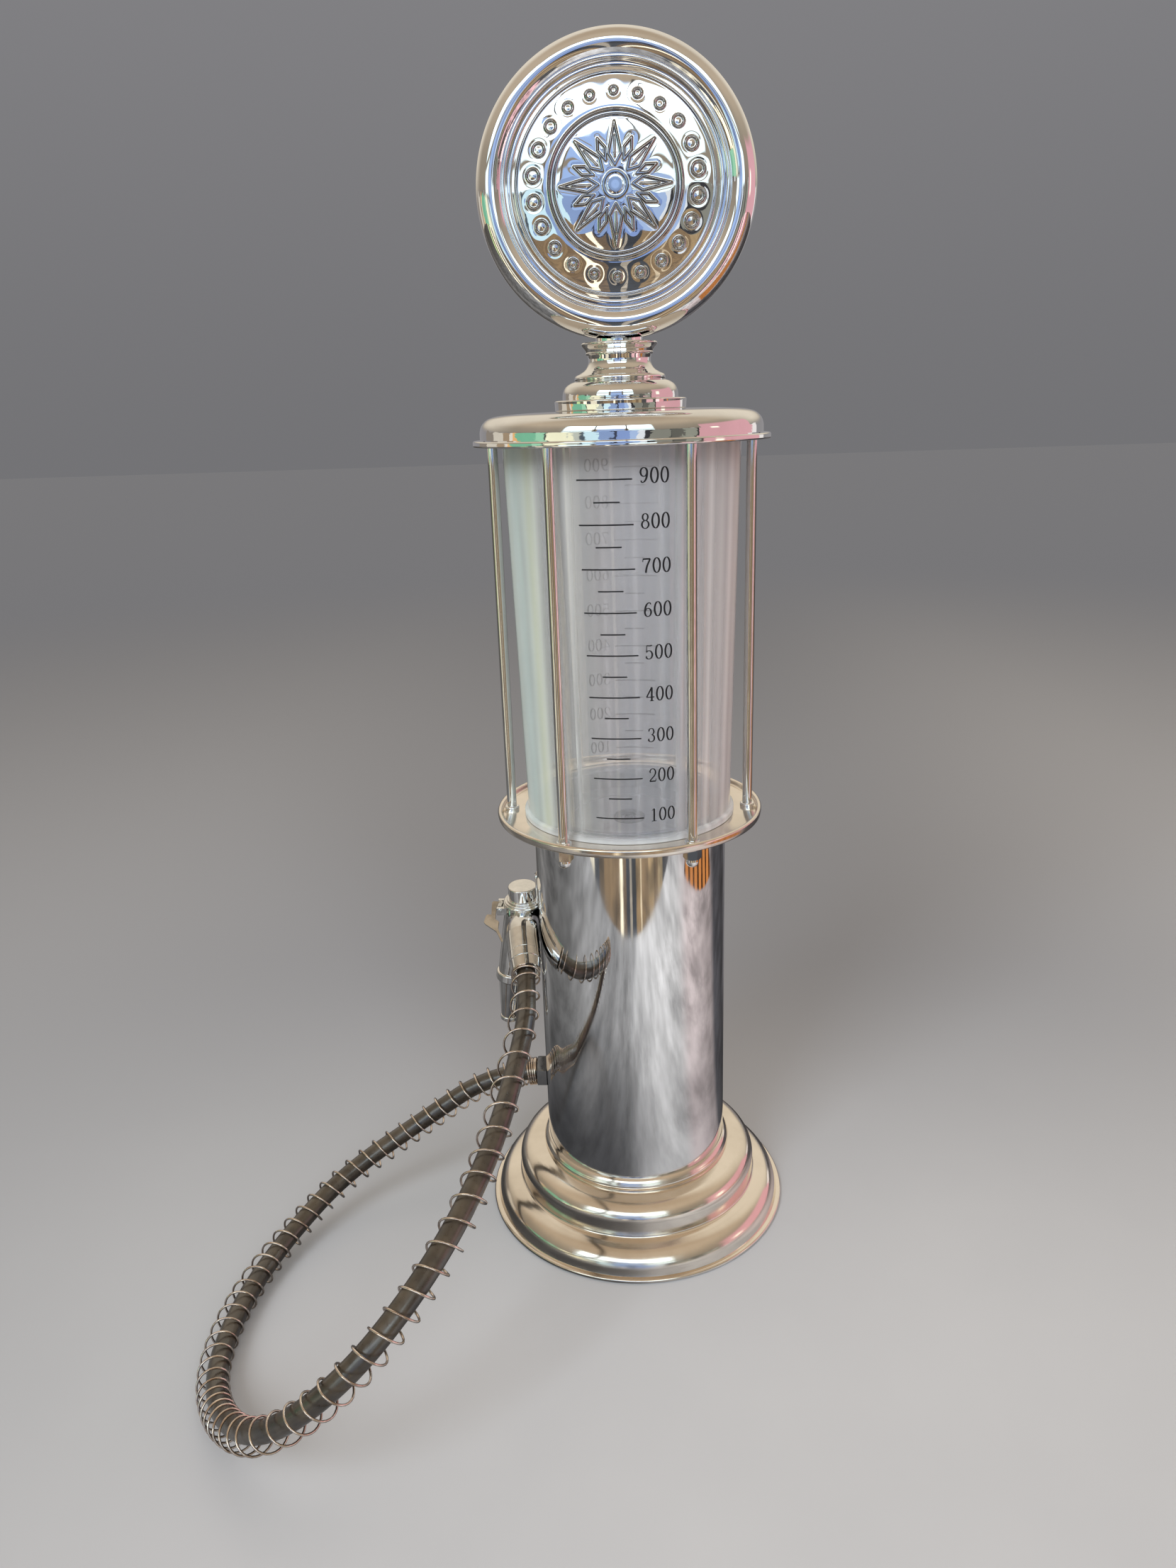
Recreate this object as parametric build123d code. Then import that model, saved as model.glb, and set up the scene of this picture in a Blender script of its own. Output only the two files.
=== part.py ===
from build123d import *
import math
import os

os.makedirs("parts", exist_ok=True)

# Counter-top liquor dispenser in the shape of an old roadside pump.
# Frame: origin on the ground at the centre of the round base, +Z up, millimetres.
# The sign faces -Y, the nozzle and the hose are on the -X side.

# ---------------------------------------------------------------- dimensions
BASE_R = 70.8            # outer radius of the base rim
COL_R = 42.4             # column outer radius
COL_WALL = 1.0
COL_Z0, COL_Z1 = 24.0, 197.1
RIDGE_Z = 28.9           # top of the stepped skirt
GAL_R = 58.15            # gallery plate radius over its rolled rim
GAL_Z = 198.6            # floor of the gallery recess
GAL_T = 1.5
ROD_R = 2.1              # rod radius
ROD_PCR = 52.2           # radius of the circle the rods stand on
ROD_THREAD = 1.7
RODS = 6
TANK_FOOT_R = 46.2
TANK_R0, TANK_Z0 = 44.45, 202.0
TANK_R1, TANK_Z1 = 47.85, 354.5
TANK_WALL = 2.35
TANK_FLOOR = 191.3       # inner floor of the sunk part
TOP_R = 59.35            # top ring radius
TOP_Z0, TOP_Z1 = 354.1, 356.4
LID_R = 56.45
LID_Z0 = 356.7
LID_TOP = 366.4
NECK_R = 26.3
SIGN_R = 52.6
SIGN_Z = 445.0
SIGN_CROWN = 9.2         # height of the bezel above the joint plane
FACE_R = 38.6
FACE_EDGE = 6.4
FACE_DOME = 11.0
PORT_Y, PORT_Z = -0.8, 64.2
NOZ = (-51.2, 12.2)      # axis of the valve housing
NOZ_TOP = 156.0
NOZ_TILT = 5.0           # the hose pulls the hung nozzle forward by this many degrees
HOSE_R, HOSE_BORE = 4.1, 2.5
SPRING_R, WIRE_R = 6.6, 0.45

# points of the hose's course, from the column port to the nozzle ferrule
HOSE_COURSE = [
    (-46.6, -0.8, 64.2), (-80.0, -0.8, 64.2), (-113.5, -8.5, 37.5), (-141.4, -26.1, 23.6),
    (-161.0, -54.1, 9.7), (-169.6, -88.4, 7.0), (-168.4, -127.3, 7.6), (-152.3, -158.2, 15.6),
    (-127.0, -180.5, 33.8), (-97.8, -178.9, 57.1), (-75.1, -154.9, 74.8), (-60.3, -124.0, 87.9),
    (-51.1, -91.8, 100.7), (-43.184, -47.624, 120.376), (-47.169, -23.463, 131.753),
]


# ------------------------------------------------------------------- helpers
def _p(q):
    return (q[0], 0, q[1])


def profile(start, *steps):
    """Closed half-section in the XZ plane: L line, A three-point arc, S spline."""
    edges, here = [], start
    for step in steps:
        if step[0] == "L":
            nxt = step[1]
            edges.append(Line(_p(here), _p(nxt)))
        elif step[0] == "A":
            nxt = step[2]
            edges.append(ThreePointArc(_p(here), _p(step[1]), _p(nxt)))
        else:
            nxt = step[1][-1]
            edges.append(Spline(*[_p(here)] + [_p(q) for q in step[1]]))
        here = nxt
    if math.dist(here, start) > 1e-6:
        edges.append(Line(_p(here), _p(start)))
    return Face(Wire(edges))


def lathe(start, *steps):
    return revolve(profile(start, *steps), axis=Axis.Z)


def crown(r, z_rim, z_top, inward=True, n=7):
    """Points of a shallow spherical crown from its rim (r, z_rim) to a 0.25 mm flat on the axis."""
    h = z_top - z_rim
    big = (r * r + h * h) / (2 * abs(h))
    up = 1 if h > 0 else -1
    pts = []
    for k in range(1, n + 1):
        q = r + (0.25 - r) * k / n
        pts.append((q, z_top - up * (big - math.sqrt(big * big - q * q))))
    return pts if inward else pts[::-1]


def ring(r_in, r_out, z0, z1):
    if r_in <= 0:
        return lathe((0, z0), ("L", (r_out, z0)), ("L", (r_out, z1)), ("L", (0, z1)))
    return lathe((r_in, z0), ("L", (r_out, z0)), ("L", (r_out, z1)), ("L", (r_in, z1)))


def rod_between(a, b, r, r2=None):
    """Cylinder or cone from point a to point b."""
    d = Vector(*b) - Vector(*a)
    plane = Plane(origin=a, z_dir=d)
    if r2 is None or abs(r2 - r) < 1e-9:
        s = Solid.make_cylinder(r, d.length, plane)
    else:
        s = Solid.make_cone(r, r2, d.length, plane)
    return Part(s.wrapped)


def around(shape, angles):
    return [shape.rotate(Axis.Z, a) for a in angles]


def solids_of(items):
    out = []
    for it in items:
        out.extend(it.solids())
    return out


def save(name, shape):
    shape.label = name
    export_step(shape, f"parts/{name}.step")


def group(name, items):
    save(name, Compound(children=solids_of(items)))


rod_angles = [k * 60.0 for k in range(RODS)]      # first rod on +X

# ---------------------------------------------------------------- the base
skirt = lathe(
    (67.6, 0.3),
    ("L", (69.8, 0.3)),
    ("A", (70.8, 1.3), (69.8, 2.3)),
    ("L", (68.5, 2.3)),
    ("S", [(68.2, 3.6), (67.7, 5.6), (66.4, 8.4), (63.7, 11.2), (60.4, 12.6), (58.0, 13.3)]),
    ("A", (57.15, 13.75), (56.9, 14.6)),
    ("L", (56.9, 19.8)),
    ("S", [(56.8, 21.4), (56.0, 23.8), (54.2, 26.2), (51.2, 27.9), (48.0, 28.6), (44.6, 28.9)]),
    ("L", (42.5, 28.9)),
    ("L", (42.5, 27.7)),
    ("L", (47.6, 27.4)),
    ("S", [(50.6, 26.7), (53.2, 25.2), (54.8, 23.2), (55.6, 21.2), (55.7, 19.8)]),
    ("L", (55.7, 14.0)),
    ("A", (56.1, 12.8), (57.3, 12.2)),
    ("S", [(60.0, 11.5), (62.9, 10.2), (65.3, 7.8), (66.5, 5.3), (67.0, 3.4), (67.2, 2.3)]),
    ("L", (67.2, 0.7)),
)
save("base_skirt", skirt)

plate = ring(0, 66.8, 1.0, 2.5)
SCREW_PCR = 37.7
for a in (30, 150, 270):
    c, s = math.cos(math.radians(a)), math.sin(math.radians(a))
    plate -= Part(Solid.make_cylinder(2.1, 10, Plane(origin=(SCREW_PCR * c, SCREW_PCR * s, -2))).wrapped)
save("base_plate", plate)

pad = ring(0, 66.0, 0.0, 1.0)
for a in (30, 150, 270):
    c, s = math.cos(math.radians(a)), math.sin(math.radians(a))
    pad -= Part(Solid.make_cylinder(4.2, 4, Plane(origin=(SCREW_PCR * c, SCREW_PCR * s, -2))).wrapped)
save("foot_pad", pad)

foot_ring = ring(33.6, 41.4, 24.0, 30.0)
screws = []
for a in (30, 150, 270):
    c, s = math.cos(math.radians(a)), math.sin(math.radians(a))
    at = (SCREW_PCR * c, SCREW_PCR * s)
    foot_ring -= Part(Solid.make_cylinder(2.0, 20, Plane(origin=(at[0], at[1], 20))).wrapped)
    head = Part(Solid.make_cylinder(3.6, 0.8, Plane(origin=(at[0], at[1], 0.2))).wrapped)
    shank = Part(Solid.make_cylinder(2.0, 28.0, Plane(origin=(at[0], at[1], 1.0))).wrapped)
    slot = Part(Solid.make_box(5.6, 0.9, 0.4, Plane(origin=(at[0] - 2.8, at[1] - 0.45, 0.1))).wrapped)
    screws.append(head + shank - slot)
save("column_foot", foot_ring)
group("base_screws", screws)

collar = lathe(
    (42.4, 28.9),
    ("L", (44.35, 28.9)),
    ("A", (44.75, 30.3), (44.3, 31.7)),
    ("A", (43.5, 33.1), (42.75, 33.9)),
    ("L", (42.4, 33.9)),
)
save("column_collar", collar)

# ---------------------------------------------------------------- the column
NX, NY = NOZ
NOZ_AZ = math.degrees(math.atan2(NY, NX))                 # direction of the nozzle from the axis
er = (math.cos(math.radians(NOZ_AZ)), math.sin(math.radians(NOZ_AZ)))
et = (-er[1], er[0])
PORT_X = -math.sqrt(COL_R**2 - PORT_Y**2)

column = ring(COL_R - COL_WALL, COL_R, COL_Z0, COL_Z1)
column -= rod_between((-60, PORT_Y, PORT_Z), (-30, PORT_Y, PORT_Z), 4.0)
RIVET_Z = (172.6, 177.0)
for z in RIVET_Z:
    column -= rod_between((er[0] * 38, er[1] * 38, z), (er[0] * 48, er[1] * 48, z), 1.2)
save("column", column)

# ------------------------------------------------- gallery, rods, tank, top ring
gallery = lathe(
    (40.2, GAL_Z),
    ("L", (55.5, GAL_Z)),
    ("A", (55.9, 198.9), (56.1, 199.6)),
    ("A", (57.2, 200.95), (58.15, 199.9)),
    ("A", (58.05, 198.2), (57.0, 197.1)),
    ("L", (41.3, 197.1)),
    ("L", (41.3, 190.4)),
    ("L", (40.2, 190.4)),
)
for a in rod_angles:
    c, s = math.cos(math.radians(a)), math.sin(math.radians(a))
    gallery -= Part(Solid.make_cylinder(ROD_THREAD, 8, Plane(origin=(ROD_PCR * c, ROD_PCR * s, 194))).wrapped)
save("gallery", gallery)

BOSS_Z = 200.3
boss = Pos(ROD_PCR, 0, 0) * (lathe((ROD_THREAD, GAL_Z), ("L", (3.2, GAL_Z)), ("L", (3.2, 199.6)),
                                   ("A", (2.95, 200.1), (2.5, BOSS_Z)), ("L", (ROD_THREAD, BOSS_Z))))
group("rod_bosses", around(boss, rod_angles))

rod = Pos(ROD_PCR, 0, 0) * (
    lathe((0, 190.4), ("L", (ROD_THREAD, 190.4)), ("L", (ROD_THREAD, BOSS_Z)), ("L", (ROD_R, BOSS_Z)),
          ("L", (ROD_R, TOP_Z0)), ("L", (ROD_THREAD, TOP_Z0)), ("L", (ROD_THREAD, 358.0)), ("L", (0, 358.0))))
group("rods", around(rod, rod_angles))

hexa = extrude(Plane.XY.offset(192.3) * RegularPolygon(3.3, 6, major_radius=False), 4.8)
hexa &= lathe((0, 192.3), ("L", (3.3, 192.3)), ("L", (3.85, 192.8)), ("L", (3.85, 196.6)), ("L", (3.35, 197.1)),
              ("L", (0, 197.1)))
dome = lathe((0, 192.3), ("L", (2.75, 192.3)), ("L", (2.75, 191.2)),
             ("S", [(2.68, 190.6), (2.42, 189.8), (1.95, 189.15), (1.3, 188.68), (0.6, 188.44), (0.25, 188.4)]),
             ("L", (0, 188.4)))
nut = hexa + dome - ring(0, ROD_THREAD, 190.4, 198.0)
group("acorn_nuts", around(Pos(ROD_PCR, 0, 0) * nut, rod_angles))

OUTLET_R = 4.1
tank = lathe(
    (OUTLET_R, 189.0),
    ("L", (38.8, 189.0)),
    ("A", (39.5, 189.3), (39.8, 190.0)),
    ("L", (39.8, GAL_Z)),
    ("L", (TANK_FOOT_R, GAL_Z)),
    ("L", (TANK_FOOT_R, 200.4)),
    ("A", (45.9, 201.1), (45.2, 201.4)),
    ("A", (44.65, 201.6), (TANK_R0, TANK_Z0)),
    ("L", (TANK_R1, TANK_Z1)),
    ("L", (TANK_R1 - TANK_WALL, TANK_Z1)),
    ("L", (TANK_R0 - TANK_WALL, TANK_Z0)),
    ("A", (41.8, 201.2), (41.0, 200.9)),
    ("L", (38.2, 200.9)),
    ("A", (37.6, 200.65), (37.3, 200.0)),
    ("L", (37.3, 192.0)),
    ("A", (37.1, 191.5), (36.6, TANK_FLOOR)),
    ("L", (27.6, TANK_FLOOR)),
    ("L", (27.4, 192.0)),
    ("L", (26.6, 192.0)),
    ("L", (26.4, TANK_FLOOR)),
    ("L", (OUTLET_R, TANK_FLOOR)),
)
save("tank", tank)

gasket = ring(44.9, 48.3, TANK_Z1, 355.5)
save("tank_gasket", gasket)

top_ring = lathe(
    (44.2, TOP_Z0),
    ("L", (44.8, TOP_Z0)),
    ("L", (44.8, 355.5)),
    ("L", (48.4, 355.5)),
    ("L", (48.4, TOP_Z0)),
    ("L", (58.9, TOP_Z0)),
    ("A", (59.25, 354.45), (TOP_R, 354.9)),
    ("L", (TOP_R, 355.7)),
    ("A", (59.1, 356.2), (58.6, TOP_Z1)),
    ("L", (54.7, TOP_Z1)),
    ("L", (54.7, 360.6)),
    ("L", (53.6, 361.0)),
    ("L", (49.6, 361.0)),
    ("L", (49.6, 356.6)),
    ("L", (44.2, 356.6)),
)
for a in rod_angles:
    c, s = math.cos(math.radians(a)), math.sin(math.radians(a))
    top_ring -= Part(Solid.make_cylinder(ROD_THREAD, 8.2, Plane(origin=(ROD_PCR * c, ROD_PCR * s, 350))).wrapped)
save("top_ring", top_ring)

# --------------------------------------------------- drain under the tank floor
spigot = lathe(
    (2.0, 192.7),
    ("L", (6.2, 192.7)),
    ("A", (6.9, 192.3), (7.2, 191.9)),
    ("L", (7.2, TANK_FLOOR + 0.0)),
    ("L", (OUTLET_R, TANK_FLOOR)),
    ("L", (OUTLET_R, 181.0)),
    ("L", (3.2, 180.4)),
    ("L", (3.2, 168.0)),
    ("L", (2.0, 168.0)),
)
save("outlet_spigot", spigot)
washer = ring(OUTLET_R, 9.5, 187.6, 189.0)
save("outlet_washer", washer)
onut = extrude(Plane.XY.offset(183.2) * RegularPolygon(7.5, 6, major_radius=False), 4.4) - ring(0, OUTLET_R, 180, 190)
save("outlet_nut", onut)

BARB_R = 2.45
drain_path = FilletPolyline((0, 0, 180.4), (0, 0, 118.0), (-12.0, PORT_Y * 0.5, 74.0), (-22.0, PORT_Y, PORT_Z),
                            (-34.0, PORT_Y, PORT_Z), radius=14.0)
drain = sweep(Plane(origin=(0, 0, 180.4), z_dir=(0, 0, -1)) * (Circle(5.2) - Circle(3.2)), path=drain_path)

def along_x(shape, x):
    """Stand a lathed part on the port axis, its own +Z pointing to -X, its zero at x."""
    return Pos(x, PORT_Y, PORT_Z) * Rot(0, -90, 0) * shape


drain -= rod_between((-34.2, PORT_Y, PORT_Z), (-24.8, PORT_Y, PORT_Z), 3.2)
save("drain_tube", drain)

hexbody = extrude(RegularPolygon(6.7, 6, major_radius=False), 5.0)
hexbody &= lathe((0, -1), ("L", (9, -1)), ("L", (9, 4.1)), ("L", (7.0, 4.6)), ("L", (0, 4.6)))
shank = lathe((0, -17.0), ("L", (2.8, -17.0)), ("L", (3.2, -16.2)), ("L", (3.2, -8.0)), ("L", (4.0, -8.0)),
              ("L", (4.0, 1.0)), ("L", (0, 1.0)))
barb_out = lathe((0, 0), ("L", (BARB_R, 0)), ("L", (BARB_R, 14.0)), ("L", (0, 14.0)))
bore = lathe((0, -20), ("L", (1.5, -20)), ("L", (1.5, 20)), ("L", (0, 20)))
inside_column = ring(0, COL_R + 0.02, 40, 90)
port = (along_x(hexbody, -42.0) - inside_column) + along_x(shank, -42.0) + along_x(barb_out, -42.0)
port -= along_x(bore, -42.0)
save("port_fitting", port)
pwash = rod_between((-41.3, PORT_Y, PORT_Z), (-39.9, PORT_Y, PORT_Z), 7.0) - rod_between(
    (-45, PORT_Y, PORT_Z), (-30, PORT_Y, PORT_Z), 4.0)
pwash -= ring(COL_R - COL_WALL, COL_R + 5, 40, 90)
save("port_washer", pwash)
pnut = Pos(-38.3, PORT_Y, PORT_Z) * Rot(0, 90, 0) * extrude(RegularPolygon(6.5, 6, major_radius=False), 1.6, both=True)
pnut -= rod_between((-45, PORT_Y, PORT_Z), (-30, PORT_Y, PORT_Z), 4.0)
save("port_nut", pnut)

# ------------------------------------------------------------------ the hanger
hang = lathe((COL_R, 150.0), ("L", (43.0, 150.0)), ("L", (43.0, 158.0)), ("L", (43.4, 159.0)), ("L", (43.4, 181.4)),
             ("L", (COL_R, 181.4)))
hang &= Pos(43, 0, 165.7) * (Box(4, 6.4, 31.4))
tongue = Pos(44.5, 0, 161.2) * Rot(0, -45, 0) * Box(4.2, 2.6, 1.0)
tongue -= ring(0, COL_R + 0.02, 150, 170)
hang += tongue
for z in RIVET_Z:
    hang -= rod_between((38, 0, z), (48, 0, z), 1.2)
hang = hang.rotate(Axis.Z, NOZ_AZ)
save("hanger", hang)
rivets = []
for z in RIVET_Z:
    rv = rod_between((40.4, 0, z), (43.4, 0, z), 1.2)
    head = Pos(43.4, 0, z) * Rot(0, 90, 0) * lathe((0, 0), ("L", (1.6, 0)), ("S", crown(1.6, 0, 1.1)), ("L", (0, 1.1)))
    tail = Pos(40.4, 0, z) * Rot(0, 90, 0) * lathe((0, 0), ("L", (1.5, 0)), ("L", (1.5, 0.75)), ("L", (0, 0.75)))
    rivets.append((rv + head + tail).rotate(Axis.Z, NOZ_AZ))
group("hanger_rivets", rivets)

# --------------------------------------------------------------- lid and neck
lid = lathe(
    (0, LID_TOP),
    ("L", (30.0, LID_TOP)),
    ("S", [(38.0, 366.22), (45.0, 365.82), (50.0, 365.3), (53.4, 364.2), (55.5, 362.2), (56.35, 359.8),
           (LID_R, 358.2)]),
    ("L", (LID_R, LID_Z0)),
    ("L", (55.25, LID_Z0)),
    ("L", (55.25, 358.2)),
    ("S", [(55.15, 359.7), (54.4, 361.6), (52.7, 363.2), (49.6, 364.1), (44.8, 364.62), (38.0, 365.02),
           (30.0, 365.2)]),
    ("L", (0, 365.2)),
)
lid -= ring(0, 2.6, 360, 370)
save("lid_dome", lid)

neck = lathe(
    (0, 380.0),
    ("L", (2.5, 380.0)),
    ("L", (2.5, LID_TOP + 0.0)),
    ("L", (NECK_R - 0.5, LID_TOP)),
    ("A", (NECK_R - 0.12, LID_TOP + 0.15), (NECK_R, LID_TOP + 0.6)),
    ("L", (NECK_R, 369.8)),
    ("A", (NECK_R - 0.15, 370.25), (NECK_R - 0.6, 370.4)),
    ("L", (22.9, 370.6)),
    ("S", [(22.9, 371.8), (22.6, 373.6), (21.6, 375.4), (19.8, 376.7), (18.2, 377.3)]),
    ("L", (17.75, 377.6)),
    ("A", (17.9, 378.6), (17.3, 379.5)),
    ("S", [(15.4, 380.4), (13.6, 381.6), (12.5, 383.4), (12.25, 385.2), (12.5, 386.8)]),
    ("L", (13.0, 387.0)),
    ("A", (13.3, 387.4), (13.1, 387.9)),
    ("S", [(13.5, 388.9), (14.35, 389.9), (14.8, 390.5)]),
    ("A", (14.9, 391.1), (14.2, 391.4)),
    ("L", (9.6, 391.2)),
    ("L", (9.2, 394.4)),
    ("L", (5.0, 394.4)),
    ("L", (5.0, 384.0)),
    ("L", (0, 384.0)),
)
neck -= Pos(0, 0, SIGN_Z) * Rot(90, 0, 0) * extrude(Circle(SIGN_R + 0.06), 20, both=True)
save("neck", neck)

nscrew = lathe((0, 363.0), ("L", (4.6, 363.0)), ("A", (4.4, 364.4), (3.4, 365.2)), ("L", (2.5, 365.2)),
               ("L", (2.5, 379.6)), ("L", (0, 379.6)))
nscrew -= Pos(0, 0, 363.0) * Box(7.0, 1.0, 1.6)
save("neck_screw", nscrew)

# ---------------------------------------------------------------- round sign
def sign_shell(side):
    """One pressed half; side -1 is the front, +1 the back. Section is (radius, height above joint)."""
    t = 1.0
    s = lathe(
        (SIGN_R, 0.15),
        ("S", [(SIGN_R, 2.2), (52.1, 4.6), (50.7, 7.0), (48.6, 8.7), (46.6, SIGN_CROWN), (44.8, 8.9),
               (43.4, 8.0)]),
        ("L", (42.6, 7.3)),
        ("A", (41.7, 7.95), (40.9, 7.2)),
        ("L", (40.3, 6.5)),
        ("A", (39.5, 6.75), (FACE_R, FACE_EDGE)),
        ("S", crown(FACE_R, FACE_EDGE, FACE_DOME)),
        ("L", (0, FACE_DOME)),
        ("L", (0, FACE_DOME - t)),
        ("L", crown(FACE_R, FACE_EDGE - t, FACE_DOME - t)[-1]),
        ("S", crown(FACE_R, FACE_EDGE - t, FACE_DOME - t, inward=False)[1:] + [(FACE_R, FACE_EDGE - t)]),
        ("L", (43.4, 5.6)),
        ("S", [(45.2, 7.2), (46.6, 7.9), (48.2, 7.5), (49.9, 6.1), (51.0, 4.3), (51.5, 2.0), (51.6, 0.15)]),
    )
    s = s.rotate(Axis.X, 90 if side < 0 else -90)
    return Pos(0, 0, SIGN_Z) * s


stud_hole = Part(Solid.make_cylinder(5.0, 30, Plane(origin=(0, 0, 380), x_dir=(1, 1, 0), z_dir=(0, 0, 1))).wrapped)
front, back = sign_shell(-1), sign_shell(1)
save("sign_front", front - stud_hole)
save("sign_back", back - stud_hole)
hoop = Pos(0, 0, SIGN_Z) * Rot(90, 0, 0) * (
    extrude(Circle(51.4), 1.6, both=True) - extrude(Circle(50.6), 3, both=True))
save("sign_hoop", hoop - stud_hole)
stud = ring(0, 5.0, 384.0, 394.0) + ring(0, 3.6, 393.0, 401.0)
snut = extrude(Plane.XY.offset(395.2) * RegularPolygon(6.0, 6, major_radius=False), 3.2) - ring(0, 3.6, 390, 400)
save("sign_stud", stud)
save("sign_nut", snut)

# --------------------------------------------------------------------- nozzle
PIVOT = Axis((NX, NY, NOZ_TOP), (1, 0, 0))


def hung(shape):
    return shape.rotate(PIVOT, NOZ_TILT)


def at_noz(shape):
    return Pos(NX, NY, 0) * shape


HANDLE_P0 = (-51.2, 11.0, 139.2)
HANDLE_P1 = (-50.2, -5.1, 140.4)
HANDLE_P2 = (-46.8, -25.7, 130.7)
hv = Vector(*HANDLE_P2) - Vector(*HANDLE_P1)
hu = hv.normalized()


def on_handle(d):
    """Point on the handle axis, d millimetres back from its end."""
    q = Vector(*HANDLE_P2) - hu * d
    return (q.X, q.Y, q.Z)


ROOT_A = (-51.3, 12.5, 145.0)
ROOT_B = (-57.9, 14.3, 111.0)
SPOUT_TIP = (-61.4, 15.0, 84.0)

body = lathe(
    (0, 128.0),
    ("L", (8.2, 128.0)),
    ("S", [(8.9, 134.0), (9.15, 140.0), (9.1, 146.5)]),
    ("A", (9.45, 147.3), (9.1, 148.1)),
    ("L", (8.7, 148.2)),
    ("A", (8.85, 148.65), (8.5, 149.0)),
    ("L", (7.4, 149.0)),
    ("A", (7.62, 149.4), (7.3, 149.8)),
    ("L", (5.6, 149.8)),
    ("L", (5.6, 153.0)),
    ("L", (0, 153.0)),
)
body = hung(at_noz(body))
root = rod_between(ROOT_A, ROOT_B, 8.6, 7.1)
elbow_path = FilletPolyline(HANDLE_P0, HANDLE_P1, on_handle(9.6), radius=9.0)
elbow = sweep(Plane(origin=HANDLE_P0, z_dir=Vector(*HANDLE_P1) - Vector(*HANDLE_P0)) * Circle(7.4), path=elbow_path)
body = body + root + elbow
body -= Pos(0, 0, 0) * hung(at_noz(ring(7.9, 40, 149.05, 170)))
lug = Pos(-61.0, 12.2, 144.6) * Box(4.8, 9.8, 3.6)
lug = lug - Pos(-62.0, 12.2, 144.6) * Box(8.8, 6.2, 6.0)
body += hung(lug)
valve_bore = ring(0, 4.6, 143.0, 160) + ring(0, 1.55, 130, 160) + ring(0, 4.6, 133.2, 141.0) + ring(0, 2.6, 120, 134)
body -= hung(at_noz(valve_bore))
body -= rod_between(on_handle(30.5), on_handle(0), 2.8)
SEAT = hung(at_noz(Pos(0, 0, 129.0) * Sphere(0.5))).center()
body -= rod_between((SEAT.X, SEAT.Y, SEAT.Z), ROOT_B, 2.6)
su = (Vector(*SPOUT_TIP) - Vector(*ROOT_B)).normalized()
body -= hung(Pos(-58.0, 12.2, 145.35) * Box(9.6, 6.2, 3.1))
body -= hung(rod_between((-62.3, 0, 144.8), (-62.3, 30, 144.8), 0.9))
save("valve_body", body)

cap = at_noz(lathe((0, 154.6), ("L", (5.6, 154.6)), ("L", (5.6, 149.8)), ("L", (6.6, 149.8)), ("L", (6.7, 150.1)),
                   ("L", (6.7, 155.4)), ("A", (6.52, 155.82), (6.1, NOZ_TOP)), ("L", (0, NOZ_TOP))))
save("valve_cap", hung(cap))

stem = at_noz(lathe((0, 134.8), ("L", (4.0, 134.8)), ("L", (4.0, 135.8)), ("L", (1.5, 136.4)), ("L", (1.5, 146.1)),
                    ("L", (3.4, 146.1)), ("L", (3.4, 147.2)), ("L", (1.5, 147.2)), ("L", (1.5, 151.6)),
                    ("L", (0, 152.0))))
save("valve_stem", hung(stem))
seal = at_noz(ring(0, 3.9, 133.6, 134.8))
save("stem_seal", hung(seal))

coil_path = Helix(pitch=1.25, height=6.2, radius=2.75)
coil = sweep(Plane(origin=coil_path @ 0, z_dir=coil_path % 0) * Circle(0.35), path=coil_path, is_frenet=True)
coil = at_noz(Pos(0, 0, 147.95) * coil)
save("valve_spring", hung(coil))

# trigger: a rocking lever with an inner fork and an outer wing
TPX, TPZ = -62.3, 144.8
WING_DROP = 34.0
barrel = rod_between((TPX, 9.5, TPZ), (TPX, 14.9, TPZ), 1.75)
finger = Pos(-56.2, 12.2, 145.2) * Box(11.6, 4.8, 1.2)
finger -= Pos(-51.2, 12.2, 145.2) * Box(6.6, 3.8, 3.0)
finger += Pos(-52.3, 9.95, 145.2) * Box(4.4, 0.9, 1.2)
finger += Pos(-52.3, 14.45, 145.2) * Box(4.4, 0.9, 1.2)
wing = extrude(Plane.XY * make_face(Polyline((0.6, -2.0), (-1.4, -2.3), (-1.4, -6.6), (0.3, -7.8), (0.1, -12.3), (-0.6, -12.9),
                                             (-6.1, -9.0), (-6.8, -8.0), (-5.9, -4.6), (-5.2, -4.1), (-3.4, -4.2), (-3.5, -1.6),
                                             (-3.5, 2.2), (-2.8, 2.8), (0.6, 2.6), close=True)), 1.5)
tail = extrude(Plane.XY * make_face(Polyline((0.2, -11.6), (2.7, -17.4), (1.9, -17.8), (-0.9, -12.4), close=True)), 1.5)
wing = Pos(TPX - 0.4, 12.2, TPZ - 0.75) * Rot(WING_DROP, 0, 0) * (wing + tail)
trig = barrel + finger + wing
trig -= rod_between((TPX, 0, TPZ), (TPX, 30, TPZ), 0.95)
save("trigger", hung(trig))
pin = rod_between((TPX, 7.1, TPZ), (TPX, 17.3, TPZ), 0.9)
pin += rod_between((TPX, 6.5, TPZ), (TPX, 7.1, TPZ), 1.3)
save("trigger_pin", hung(pin))

# handle sleeve, ferrule and hose barb
sleeve = rod_between(on_handle(9.6), on_handle(5.0), 7.3) - rod_between(on_handle(12), on_handle(0), 2.8)
save("handle_sleeve", sleeve)
ferrule = rod_between(on_handle(5.0), on_handle(0), 7.0, 6.5)
ferrule -= rod_between(on_handle(2.5), on_handle(-2), 5.7)
ferrule -= rod_between(on_handle(9), on_handle(0), 2.8)
save("handle_ferrule", ferrule)
barb = rod_between(on_handle(8.5), on_handle(0.2), 2.45)
barb += rod_between(on_handle(6.0), on_handle(2.5), 2.8)
barb -= rod_between(on_handle(12), on_handle(-6.0), 1.5)
save("hose_barb", barb)

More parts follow.
